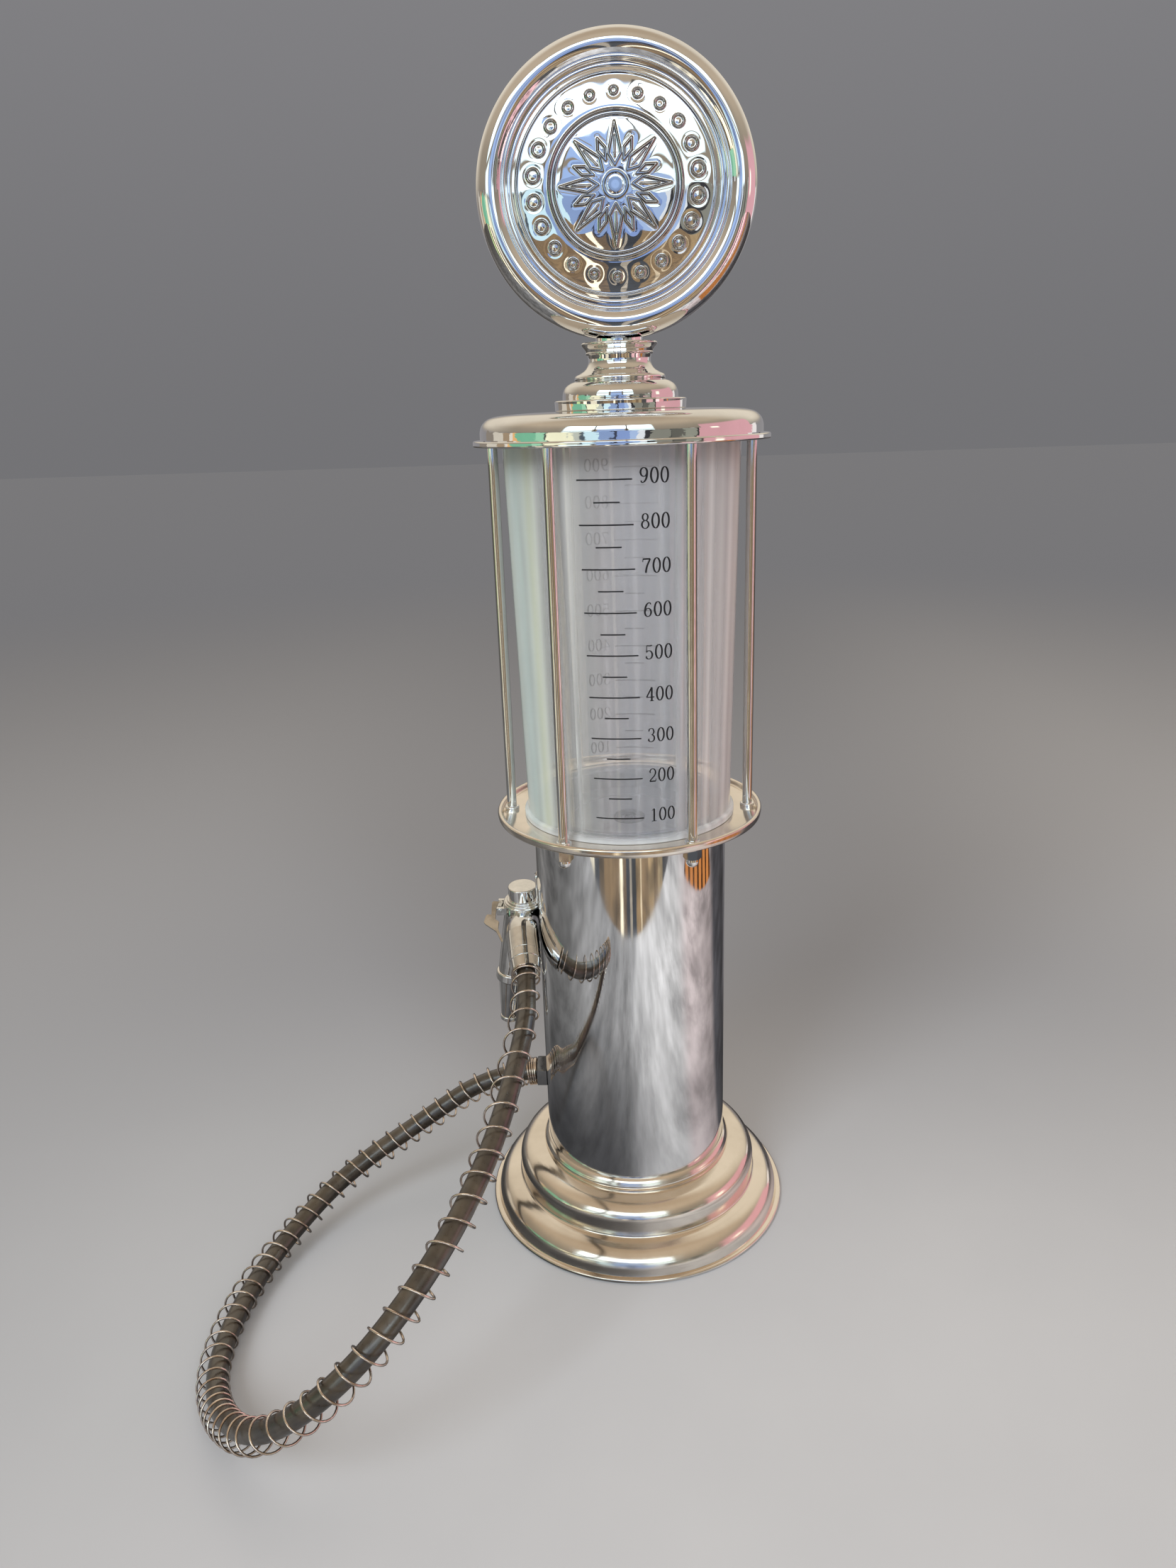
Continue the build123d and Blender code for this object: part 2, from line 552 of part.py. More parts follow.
# spout
sp_ring = Vector(*ROOT_B) + su * 4.6
spcol = rod_between(ROOT_B, (sp_ring.X, sp_ring.Y, sp_ring.Z), 8.0)
spcol = fillet(spcol.edges(), 0.9)
spcol -= root
spcol -= rod_between((ROOT_B[0] - su.X * 4, ROOT_B[1] - su.Y * 4, ROOT_B[2] - su.Z * 4), SPOUT_TIP, 2.6)
save("spout_nut", spcol)
q1 = Vector(*SPOUT_TIP) - su * 2.4
spout = rod_between((sp_ring.X, sp_ring.Y, sp_ring.Z), (q1.X, q1.Y, q1.Z), 6.7, 4.1)
lip = rod_between((q1.X, q1.Y, q1.Z), SPOUT_TIP, 4.4)
lip = fillet(lip.edges(), 0.6)
spout += lip
spout -= rod_between((sp_ring.X - su.X, sp_ring.Y - su.Y, sp_ring.Z - su.Z),
                     (SPOUT_TIP[0] + su.X, SPOUT_TIP[1] + su.Y, SPOUT_TIP[2] + su.Z), 2.6)
save("spout", spout)

# bail that hangs the nozzle on the hanger's tongue
BAIL_D = 7.9
bx = NX - er[0] * BAIL_D - et[0] * 0.6
by = NY - er[1] * BAIL_D - et[1] * 0.6
wr, rr, zt = 0.5, 2.9, 161.1
legs = [rod_between((bx + et[0] * rr * k, by + et[1] * rr * k, 149.0), (bx + et[0] * rr * k, by + et[1] * rr * k, zt), wr)
        for k in (-1, 1)]
arch_path = ThreePointArc((bx - et[0] * rr, by - et[1] * rr, zt), (bx, by, zt + rr), (bx + et[0] * rr, by + et[1] * rr, zt))
arch = sweep(Plane(origin=(bx - et[0] * rr, by - et[1] * rr, zt), z_dir=(0, 0, 1)) * Circle(wr), path=arch_path)
save("nozzle_bail", hung(legs[0] + legs[1] + arch))

# ------------------------------------------------------------ hose and its coil
def course_radii(pts):
    out = []
    for i in range(1, len(pts) - 1):
        a, b, c = Vector(*pts[i - 1]), Vector(*pts[i]), Vector(*pts[i + 1])
        u, v = (b - a), (c - b)
        turn = math.radians(u.get_angle(v))
        out.append(0.45 * min(u.length, v.length) / math.tan(turn / 2))
    return out


radii = course_radii(HOSE_COURSE)
hose_path = FilletPolyline(*HOSE_COURSE, radius=radii)
first = Plane(origin=HOSE_COURSE[0], z_dir=Vector(*HOSE_COURSE[1]) - Vector(*HOSE_COURSE[0]))
hose = sweep(first * (Circle(HOSE_R) - Circle(HOSE_BORE)), path=hose_path)
save("hose", hose)
end, before = Vector(*HOSE_COURSE[-1]), Vector(*HOSE_COURSE[-2])
mouth = end - (end - before).normalized() * 2.55
coil_course = HOSE_COURSE[:-1] + [(mouth.X, mouth.Y, mouth.Z)]
coil_path = FilletPolyline(*coil_course, radius=radii[:-1] + [radii[-1] * 0.9])
coil_sleeve = sweep(first * (Circle(SPRING_R) - Circle(SPRING_R - 2 * WIRE_R)), path=coil_path)
save("hose_spring", coil_sleeve)
length = hose_path.length
print("hose length", round(length, 1), "radii", [round(r) for r in radii])
print("hose volume / section*length", hose.volume / (math.pi * (HOSE_R**2 - HOSE_BORE**2) * length))
print("sleeve volume ratio", coil_sleeve.volume / (math.pi * (SPRING_R**2 - (SPRING_R - 2 * WIRE_R) ** 2) * coil_path.length))
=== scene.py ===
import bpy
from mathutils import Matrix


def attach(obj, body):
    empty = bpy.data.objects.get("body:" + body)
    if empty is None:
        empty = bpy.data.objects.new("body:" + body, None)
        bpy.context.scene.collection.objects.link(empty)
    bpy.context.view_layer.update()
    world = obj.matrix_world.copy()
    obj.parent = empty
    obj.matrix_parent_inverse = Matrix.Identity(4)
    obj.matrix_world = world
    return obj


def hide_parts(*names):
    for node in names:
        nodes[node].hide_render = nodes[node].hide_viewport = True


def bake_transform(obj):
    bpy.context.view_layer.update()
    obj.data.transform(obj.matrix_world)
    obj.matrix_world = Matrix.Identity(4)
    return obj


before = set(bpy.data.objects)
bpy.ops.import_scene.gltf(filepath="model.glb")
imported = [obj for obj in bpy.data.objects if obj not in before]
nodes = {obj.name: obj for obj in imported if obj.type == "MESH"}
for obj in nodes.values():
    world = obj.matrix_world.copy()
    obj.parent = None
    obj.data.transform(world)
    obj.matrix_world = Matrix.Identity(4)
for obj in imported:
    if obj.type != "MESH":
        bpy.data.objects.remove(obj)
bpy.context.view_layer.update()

import math

import bpy
import numpy as np
from mathutils import Matrix, Vector

scene = bpy.context.scene
MM = 0.001

# ------------------------------------------------------------------ camera
YAW, PITCH, ROLL = -0.0552, 0.3197, -0.0333
fwd = Vector((math.sin(YAW) * math.cos(PITCH), math.cos(YAW) * math.cos(PITCH), -math.sin(PITCH)))
right0 = Vector((math.cos(YAW), -math.sin(YAW), 0.0))
up0 = right0.cross(fwd)
right = math.cos(ROLL) * right0 + math.sin(ROLL) * up0
up = -math.sin(ROLL) * right0 + math.cos(ROLL) * up0
CAM = Vector((0.00798, -0.4694, 0.36536))
cam_data = bpy.data.cameras.new("Camera")
cam = bpy.data.objects.new("Camera", cam_data)
scene.collection.objects.link(cam)
cam.matrix_world = Matrix(((right.x, up.x, -fwd.x, CAM.x), (right.y, up.y, -fwd.y, CAM.y),
                           (right.z, up.z, -fwd.z, CAM.z), (0, 0, 0, 1)))
cam_data.sensor_fit = "HORIZONTAL"
cam_data.sensor_width = 36.0
cam_data.lens = 1576.9 / 1659.0 * 36.0
cam_data.clip_start = 0.01
cam_data.clip_end = 60.0
scene.camera = cam


# ----------------------------------------------------------------- helpers
def new_object(name, verts, faces, smooth=True, sharp=None):
    me = bpy.data.meshes.new(name)
    me.from_pydata([tuple(v) for v in verts], [], faces)
    me.update()
    if smooth:
        me.polygons.foreach_set("use_smooth", [True] * len(me.polygons))
        if sharp is not None:
            me.set_sharp_from_angle(angle=math.radians(sharp))
    ob = bpy.data.objects.new(name, me)
    scene.collection.objects.link(ob)
    return ob


def grid_object(name, pts, close_u=False, close_v=False, sharp=None, flip=False):
    """pts is an array (u, v, 3) in metres."""
    nu, nv = pts.shape[:2]
    faces = []
    for i in range(nu if close_u else nu - 1):
        i2 = (i + 1) % nu
        for j in range(nv if close_v else nv - 1):
            j2 = (j + 1) % nv
            q = (i * nv + j, i2 * nv + j, i2 * nv + j2, i * nv + j2)
            faces.append(q[::-1] if flip else q)
    return new_object(name, pts.reshape(-1, 3), faces, sharp=sharp)


def catmull(pts, n=10):
    """Smooth line through the points."""
    p = [np.array(q, float) for q in pts]
    p = [2 * p[0] - p[1]] + p + [2 * p[-1] - p[-2]]
    out = []
    for i in range(1, len(p) - 2):
        p0, p1, p2, p3 = p[i - 1], p[i], p[i + 1], p[i + 2]
        t0 = 0.0
        t1 = t0 + max(np.linalg.norm(p1 - p0), 1e-9) ** 0.5
        t2 = t1 + max(np.linalg.norm(p2 - p1), 1e-9) ** 0.5
        t3 = t2 + max(np.linalg.norm(p3 - p2), 1e-9) ** 0.5
        for t in np.linspace(t1, t2, n, endpoint=False):
            a1 = (t1 - t) / (t1 - t0) * p0 + (t - t0) / (t1 - t0) * p1
            a2 = (t2 - t) / (t2 - t1) * p1 + (t - t1) / (t2 - t1) * p2
            a3 = (t3 - t) / (t3 - t2) * p2 + (t - t2) / (t3 - t2) * p3
            b1 = (t2 - t) / (t2 - t0) * a1 + (t - t0) / (t2 - t0) * a2
            b2 = (t3 - t) / (t3 - t1) * a2 + (t - t1) / (t3 - t1) * a3
            out.append((t2 - t) / (t2 - t1) * b1 + (t - t1) / (t2 - t1) * b2)
    out.append(p[-2])
    return out


def arc3(a, m, b, n=10):
    """Circular arc from a through m to b."""
    a, m, b = (np.array(q, float) for q in (a, m, b))
    ax, ay, mx, my, bx, by = *a, *m, *b
    d = 2 * (ax * (my - by) + mx * (by - ay) + bx * (ay - my))
    ux = ((ax**2 + ay**2) * (my - by) + (mx**2 + my**2) * (by - ay) + (bx**2 + by**2) * (ay - my)) / d
    uy = ((ax**2 + ay**2) * (bx - mx) + (mx**2 + my**2) * (ax - bx) + (bx**2 + by**2) * (mx - ax)) / d
    c = np.array((ux, uy))
    r = np.linalg.norm(a - c)
    t0, tm, t1 = (math.atan2(*(q - c)[::-1]) for q in (a, m, b))
    span = (t1 - t0) % (2 * math.pi)
    if (tm - t0) % (2 * math.pi) > span:
        span -= 2 * math.pi
    return [c + r * np.array((math.cos(t0 + span * k / n), math.sin(t0 + span * k / n))) for k in range(n + 1)]


def profile(start, *steps, seg=0.0):
    """Half-section in millimetres (radius, height): L line, A arc through a point, S smooth line."""
    out = [np.array(start, float)]
    for st in steps:
        here = out[-1]
        if st[0] == "L":
            out.append(np.array(st[1], float))
        elif st[0] == "A":
            out.extend(arc3(here, st[1], st[2])[1:])
        else:
            out.extend(catmull([here] + list(st[1]), 8)[1:])
    return np.array(out)


def lathe(name, prof, segs=288, close=True, sharp=28, axis="Z", centre=(0, 0, 0), flip=False):
    """Turned piece; prof in millimetres runs counter-clockwise (radius right, height up)."""
    p = np.asarray(prof) * MM
    a = np.linspace(0, 2 * math.pi, segs, endpoint=False)
    r, z = p[:, 0][None, :], p[:, 1][None, :]
    pts = np.stack([r * np.cos(a)[:, None], r * np.sin(a)[:, None], np.broadcast_to(z, (segs, len(p)))], -1)
    if axis == "-Y":
        pts = np.stack([pts[..., 0], -pts[..., 2], pts[..., 1]], -1)
    elif axis == "+Y":
        pts = np.stack([-pts[..., 0], pts[..., 2], pts[..., 1]], -1)
    pts = pts + np.array(centre) * MM
    ob = grid_object(name, pts, close_u=True, close_v=close, sharp=sharp, flip=flip)
    return ob


def smooth_cad(name, angle=32):
    me = nodes[name].data
    me.polygons.foreach_set("use_smooth", [True] * len(me.polygons))
    me.set_sharp_from_angle(angle=math.radians(angle))


def dress(ob, mat):
    me = ob.data
    me.materials.clear()
    me.materials.append(mat)


# -------------------------------------------------------------- hose and coil
HOSE_ROUTE = [
    (-46.6, -0.8, 64.2), (-69.0, -0.8, 62.8), (-104.0, -6.5, 40.0), (-139.0, -24.6, 23.2),
    (-161.0, -54.1, 9.7), (-169.6, -88.4, 7.0), (-168.4, -127.3, 7.6), (-152.3, -158.2, 15.6),
    (-127.0, -180.5, 33.8), (-96.3, -182.9, 61.3), (-73.0, -162.8, 82.1), (-58.2, -134.8, 96.6),
    (-49.4, -103.2, 108.7), (-44.5, -55.5, 121.2), (-45.8, -36.89, 125.43), (-47.169, -23.463, 131.753),
]
cd = bpy.data.curves.new("hose_route", "CURVE")
cd.dimensions = "3D"
cd.resolution_u = 48
sp = cd.splines.new("NURBS")
sp.points.add(len(HOSE_ROUTE) - 1)
for pt, q in zip(sp.points, HOSE_ROUTE):
    pt.co = (q[0] * MM, q[1] * MM, q[2] * MM, 1.0)
sp.order_u = 3
sp.use_endpoint_u = True
route = bpy.data.objects.new("hose_route", cd)
scene.collection.objects.link(route)
bpy.context.view_layer.update()
line = bpy.data.meshes.new_from_object(route)
path = np.array([v.co[:] for v in line.vertices])
bpy.data.objects.remove(route)
seg = np.linalg.norm(np.diff(path, axis=0), axis=1)
arc = np.r_[0, np.cumsum(seg)]
HOSE_LEN = float(arc[-1])


def at(s):
    return np.stack([np.interp(s, arc, path[:, k]) for k in range(3)], -1)


def tangents(s, h=0.0012):
    d = at(np.clip(s + h, 0, HOSE_LEN)) - at(np.clip(s - h, 0, HOSE_LEN))
    return d / np.linalg.norm(d, axis=1)[:, None]


def carry(t, first):
    """Frame vectors carried along the tangents without twist."""
    n = first - t[0] * (first @ t[0])
    n /= np.linalg.norm(n)
    out = [n]
    for k in range(1, len(t)):
        n = out[-1] - t[k] * (out[-1] @ t[k])
        out.append(n / np.linalg.norm(n))
    return np.array(out)


def tube(name, centre, t, radius, sides, first=(0, 0, 1), caps=True):
    n = carry(t, np.array(first, float))
    b = np.cross(t, n)
    a = np.linspace(0, 2 * math.pi, sides, endpoint=False)
    radius = np.broadcast_to(radius, (len(centre),))
    pts = centre[:, None, :] + radius[:, None, None] * (
        np.cos(a)[None, :, None] * n[:, None, :] + np.sin(a)[None, :, None] * b[:, None, :])
    nu, nv = pts.shape[:2]
    faces = []
    for i in range(nu - 1):
        for j in range(nv):
            j2 = (j + 1) % nv
            faces.append((i * nv + j, i * nv + j2, (i + 1) * nv + j2, (i + 1) * nv + j))
    if caps:
        faces.append(tuple(range(nv - 1, -1, -1)))
        faces.append(tuple((nu - 1) * nv + j for j in range(nv)))
    return new_object(name, pts.reshape(-1, 3), faces, sharp=60)


s_h = np.linspace(0, HOSE_LEN, 360)
hose = tube("hose_tube", at(s_h), tangents(s_h), 4.1 * MM, 40)

# where each turn of the coil crosses the side that faces the front, as a share of the hose's length
TURNS = [0.0138, 0.0276, 0.0428, 0.0553, 0.0699, 0.0836, 0.098, 0.1115, 0.1249, 0.1382, 0.1519, 0.1661, 0.1801, 0.194,
         0.2084, 0.222, 0.2362, 0.2497, 0.2638, 0.2774, 0.2917, 0.3055, 0.3195, 0.3351, 0.3482, 0.3624, 0.3768, 0.3916,
         0.4053, 0.4196, 0.4341, 0.4477, 0.4595, 0.4698, 0.4809, 0.491, 0.5027, 0.5145, 0.5284, 0.5409, 0.5581, 0.5776,
         0.595, 0.6108, 0.6264, 0.6422, 0.6572, 0.6723, 0.6875, 0.7033, 0.7191, 0.7364, 0.7533, 0.7714, 0.7891, 0.8059,
         0.8249, 0.8453, 0.8695, 0.8948, 0.9191, 0.9416, 0.9628, 0.9849]
close_turns = [0.0022, 0.0042, 0.0062, 0.0082]
marks = [0.0012] + close_turns + TURNS + [0.9925, 0.9944]
count = np.arange(len(marks), dtype=float)
f = np.interp(np.linspace(0, len(marks) - 1, (len(marks) - 1) * 26 + 1), count, marks)
ker = np.hanning(21)
ker /= ker.sum()
f_s = np.convolve(np.pad(f, 10, mode="reflect", reflect_type="odd"), ker, mode="valid")
f = np.clip(f_s, marks[0], marks[-1])
phase = 2 * math.pi * np.linspace(0, len(marks) - 1, len(f))
s_c = f * HOSE_LEN
c_c, t_c = at(s_c), tangents(s_c)
toward = np.array(CAM) - c_c
ref = toward - t_c * (toward * t_c).sum(1)[:, None]
ref /= np.linalg.norm(ref, axis=1)[:, None]
side = np.cross(t_c, ref)
# the coil hangs loose on the hose: to the outside of the loop and down, in millimetres
KEYS = [(0, 0, 0), (0.05, 0.2, 0.6), (0.15, 0.0, 1.2), (0.28, 0.8, 0.9), (0.36, 1.5, 0.15), (0.50, 1.5, 0.2),
        (0.60, 1.3, 0.8), (0.70, 0.9, 1.1), (0.78, 0.2, 0.5), (0.86, -0.9, -0.5), (0.95, -1.0, -0.4), (1, 0, 0)]
kf = [k[0] for k in KEYS]
outw = c_c - np.array([-0.110, -0.095, 0.0])
outw[:, 2] = 0
outw /= np.linalg.norm(outw, axis=1)[:, None]
off = outw * np.interp(f, kf, [k[1] for k in KEYS])[:, None] + np.array([0, 0, -1.0]) * np.interp(
    f, kf, [k[2] for k in KEYS])[:, None]
off -= t_c * (off * t_c).sum(1)[:, None]
size = np.linalg.norm(off, axis=1)
off *= (np.minimum(size, 1.5) / np.maximum(size, 1e-6))[:, None] * MM
wire = c_c + off + 6.1 * MM * (np.cos(phase)[:, None] * ref + np.sin(phase)[:, None] * side)
wire[:, 2] = np.maximum(wire[:, 2], 0.5 * MM)
t_w = np.gradient(wire, axis=0)
t_w /= np.linalg.norm(t_w, axis=1)[:, None]
coil = tube("hose_coil", wire, t_w, 0.45 * MM, 8)

for piece, node in ((hose, "hose"), (coil, "hose_spring")):
    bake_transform(piece)
    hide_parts(node)


# --------------------------------------------------------------- materials
def mat_new(name):
    m = bpy.data.materials.new(name)
    m.use_nodes = True
    nt = m.node_tree
    return m, nt, nt.nodes["Principled BSDF"]


def node(nt, kind, **sockets):
    n = nt.nodes.new(kind)
    for k, v in sockets.items():
        if k in n.inputs:
            n.inputs[k].default_value = v
        else:
            setattr(n, k, v)
    return n


def ramp(nt, src, stops):
    r = nt.nodes.new("ShaderNodeValToRGB")
    el = r.color_ramp.elements
    while len(el) < len(stops):
        el.new(0.5)
    for e, (pos, col) in zip(el, stops):
        e.position = pos
        e.color = (*col, 1) if len(col) == 3 else col
    nt.links.new(src, r.inputs["Fac"])
    return r


def noise(nt, coord, scale, detail=4.0, rough=0.55, stretch=None):
    n = nt.nodes.new("ShaderNodeTexNoise")
    n.inputs["Scale"].default_value = scale
    n.inputs["Detail"].default_value = detail
    n.inputs["Roughness"].default_value = rough
    if stretch is not None:
        mp = nt.nodes.new("ShaderNodeMapping")
        mp.inputs["Scale"].default_value = stretch
        nt.links.new(coord, mp.inputs["Vector"])
        coord = mp.outputs["Vector"]
    nt.links.new(coord, n.inputs["Vector"])
    return n


def g(v):
    return (v, v, v)


def metal(name, light, dark, rough=(0.03, 0.11), wave=0.0, wave_scale=40.0, haze_scale=30.0, grain=0.0,
          grain_stretch=(1, 1, 1), stretch=None):
    """Polished metal: faint smears in its roughness and colour, a slow wave in its surface, fine polishing lines."""
    m, nt, b = mat_new(name)
    b.inputs["Metallic"].default_value = 1.0
    tc = nt.nodes.new("ShaderNodeTexCoord").outputs["Object"]
    hz = noise(nt, tc, haze_scale, 6.0, 0.6, stretch)
    cr = ramp(nt, hz.outputs["Fac"], [(0.30, dark), (0.62, light)])
    nt.links.new(cr.outputs["Color"], b.inputs["Base Color"])
    hz2 = noise(nt, tc, haze_scale * 2.7, 5.0, 0.65, stretch)
    rr = ramp(nt, hz2.outputs["Fac"], [(0.42, g(rough[0])), (0.75, g(rough[1]))])
    nt.links.new(rr.outputs["Color"], b.inputs["Roughness"])
    last = None
    if wave > 0:
        wv = noise(nt, tc, wave_scale, 1.5, 0.4)
        bp = node(nt, "ShaderNodeBump", Strength=wave, Distance=0.001)
        nt.links.new(wv.outputs["Fac"], bp.inputs["Height"])
        last = bp
    if grain > 0:
        gr = noise(nt, tc, 900.0, 2.0, 0.5, grain_stretch)
        bp2 = node(nt, "ShaderNodeBump", Strength=grain, Distance=0.0002)
        nt.links.new(gr.outputs["Fac"], bp2.inputs["Height"])
        if last:
            nt.links.new(last.outputs["Normal"], bp2.inputs["Normal"])
        last = bp2
    if last:
        nt.links.new(last.outputs["Normal"], b.inputs["Normal"])
    return m


CHROME = metal("chrome_polished", (0.86, 0.855, 0.845), (0.74, 0.735, 0.725), rough=(0.025, 0.09), wave=0.05,
               wave_scale=55.0)
CHROME_TUBE = metal("chrome_tube", (0.84, 0.845, 0.85), (0.70, 0.705, 0.715), rough=(0.02, 0.12), wave=0.03,
                    wave_scale=38.0, haze_scale=24.0, stretch=(1, 1, 0.35), grain=0.02, grain_stretch=(1, 1, 0.08))
CHROME_CAST = metal("chrome_cast", (0.84, 0.83, 0.815), (0.66, 0.655, 0.64), rough=(0.05, 0.16), wave=0.10,
                    wave_scale=170.0, haze_scale=90.0)
CHROME_LEVER = metal("chrome_lever", (0.76, 0.76, 0.74), (0.46, 0.46, 0.45), rough=(0.06, 0.20), wave=0.12,
                     wave_scale=170.0, haze_scale=120.0, grain=0.05)
CHROME_FACE = metal("chrome_face", (0.88, 0.88, 0.885), (0.78, 0.78, 0.785), rough=(0.02, 0.07), wave=0.035,
                    wave_scale=70.0)
CHROME_ROD = metal("chrome_rod", (0.80, 0.80, 0.79), (0.62, 0.62, 0.60), rough=(0.03, 0.10), wave=0.02,
                   wave_scale=60.0, stretch=(1, 1, 0.2))
CHROME_PRESSED = metal("chrome_pressed", (0.88, 0.815, 0.735), (0.72, 0.655, 0.575), rough=(0.13, 0.25), wave=0.06,
                       wave_scale=48.0, haze_scale=22.0)
# painted shade: the sign face's colour darkens to dark slate on the steep flanks of its pressed relief, in place of the
# darker reflections there
fnt_ = CHROME_FACE.node_tree
fbs = fnt_.nodes["Principled BSDF"]
was = fbs.inputs["Base Color"].links[0].from_socket
painted_flank_shade = fnt_.nodes.new("ShaderNodeAttribute")
painted_flank_shade.attribute_name = "painted_flank_shade"
flank_shade_mix = fnt_.nodes.new("ShaderNodeMix")
flank_shade_mix.data_type = "RGBA"
flank_shade_ramp = ramp(fnt_, painted_flank_shade.outputs["Fac"], [(0.05, g(0.0)), (0.9, g(0.80))])
fnt_.links.new(flank_shade_ramp.outputs["Color"], flank_shade_mix.inputs["Factor"])
fnt_.links.new(was, flank_shade_mix.inputs["A"])
flank_shade_mix.inputs["B"].default_value = (0.10, 0.11, 0.13, 1)
fnt_.links.new(flank_shade_mix.outputs["Result"], fbs.inputs["Base Color"])
STEEL = metal("zinc_steel", (0.62, 0.63, 0.65), (0.50, 0.51, 0.52), rough=(0.22, 0.38), grain=0.06)
COIL = metal("coil_wire", (0.86, 0.76, 0.68), (0.40, 0.30, 0.24), rough=(0.10, 0.24), haze_scale=160.0, grain=0.05)
BRASS = metal("turned_brass", (0.78, 0.60, 0.30), (0.60, 0.44, 0.20), rough=(0.18, 0.30), grain=0.05)


def plain(name, a, b_, rough=(0.35, 0.6), scale=220.0, bump=0.15, coat=0.0, spec=0.5, dist=0.0003, stretch=None):
    m, nt, b = mat_new(name)
    tc = nt.nodes.new("ShaderNodeTexCoord").outputs["Object"]
    n1 = noise(nt, tc, scale * 0.25, 6.0, 0.6, stretch)
    cr = ramp(nt, n1.outputs["Fac"], [(0.35, a), (0.68, b_)])
    nt.links.new(cr.outputs["Color"], b.inputs["Base Color"])
    n2 = noise(nt, tc, scale, 4.0, 0.6, stretch)
    rr = ramp(nt, n2.outputs["Fac"], [(0.35, g(rough[0])), (0.7, g(rough[1]))])
    nt.links.new(rr.outputs["Color"], b.inputs["Roughness"])
    bp = node(nt, "ShaderNodeBump", Strength=bump, Distance=dist)
    nt.links.new(n2.outputs["Fac"], bp.inputs["Height"])
    nt.links.new(bp.outputs["Normal"], b.inputs["Normal"])
    if coat:
        b.inputs["Coat Weight"].default_value = coat
        b.inputs["Coat Roughness"].default_value = 0.18
    b.inputs["Specular IOR Level"].default_value = spec
    return m


HOSE = plain("hose_vinyl", (0.014, 0.010, 0.007), (0.050, 0.037, 0.024), rough=(0.26, 0.46), scale=520.0, bump=0.14,
             spec=0.9, coat=0.55)
INK = plain("printed_ink", (0.006, 0.006, 0.008), (0.014, 0.014, 0.016), rough=(0.45, 0.6), scale=900.0, bump=0.05,
            spec=0.25)
RUBBER = plain("seal_rubber", (0.012, 0.012, 0.012), (0.03, 0.03, 0.03), rough=(0.5, 0.7), scale=500.0)
FELT = plain("black_felt", (0.010, 0.010, 0.011), (0.03, 0.03, 0.032), rough=(0.85, 1.0), scale=1400.0, bump=0.6)
WHITE = plain("white_plastic", (0.72, 0.72, 0.69), (0.80, 0.80, 0.78), rough=(0.25, 0.35), scale=300.0, bump=0.04)
SILICONE = plain("pale_silicone", (0.60, 0.60, 0.57), (0.70, 0.70, 0.67), rough=(0.4, 0.55), scale=300.0, bump=0.06)
VINYL = plain("milky_tube", (0.55, 0.54, 0.49), (0.66, 0.65, 0.60), rough=(0.25, 0.4), scale=260.0, bump=0.04)


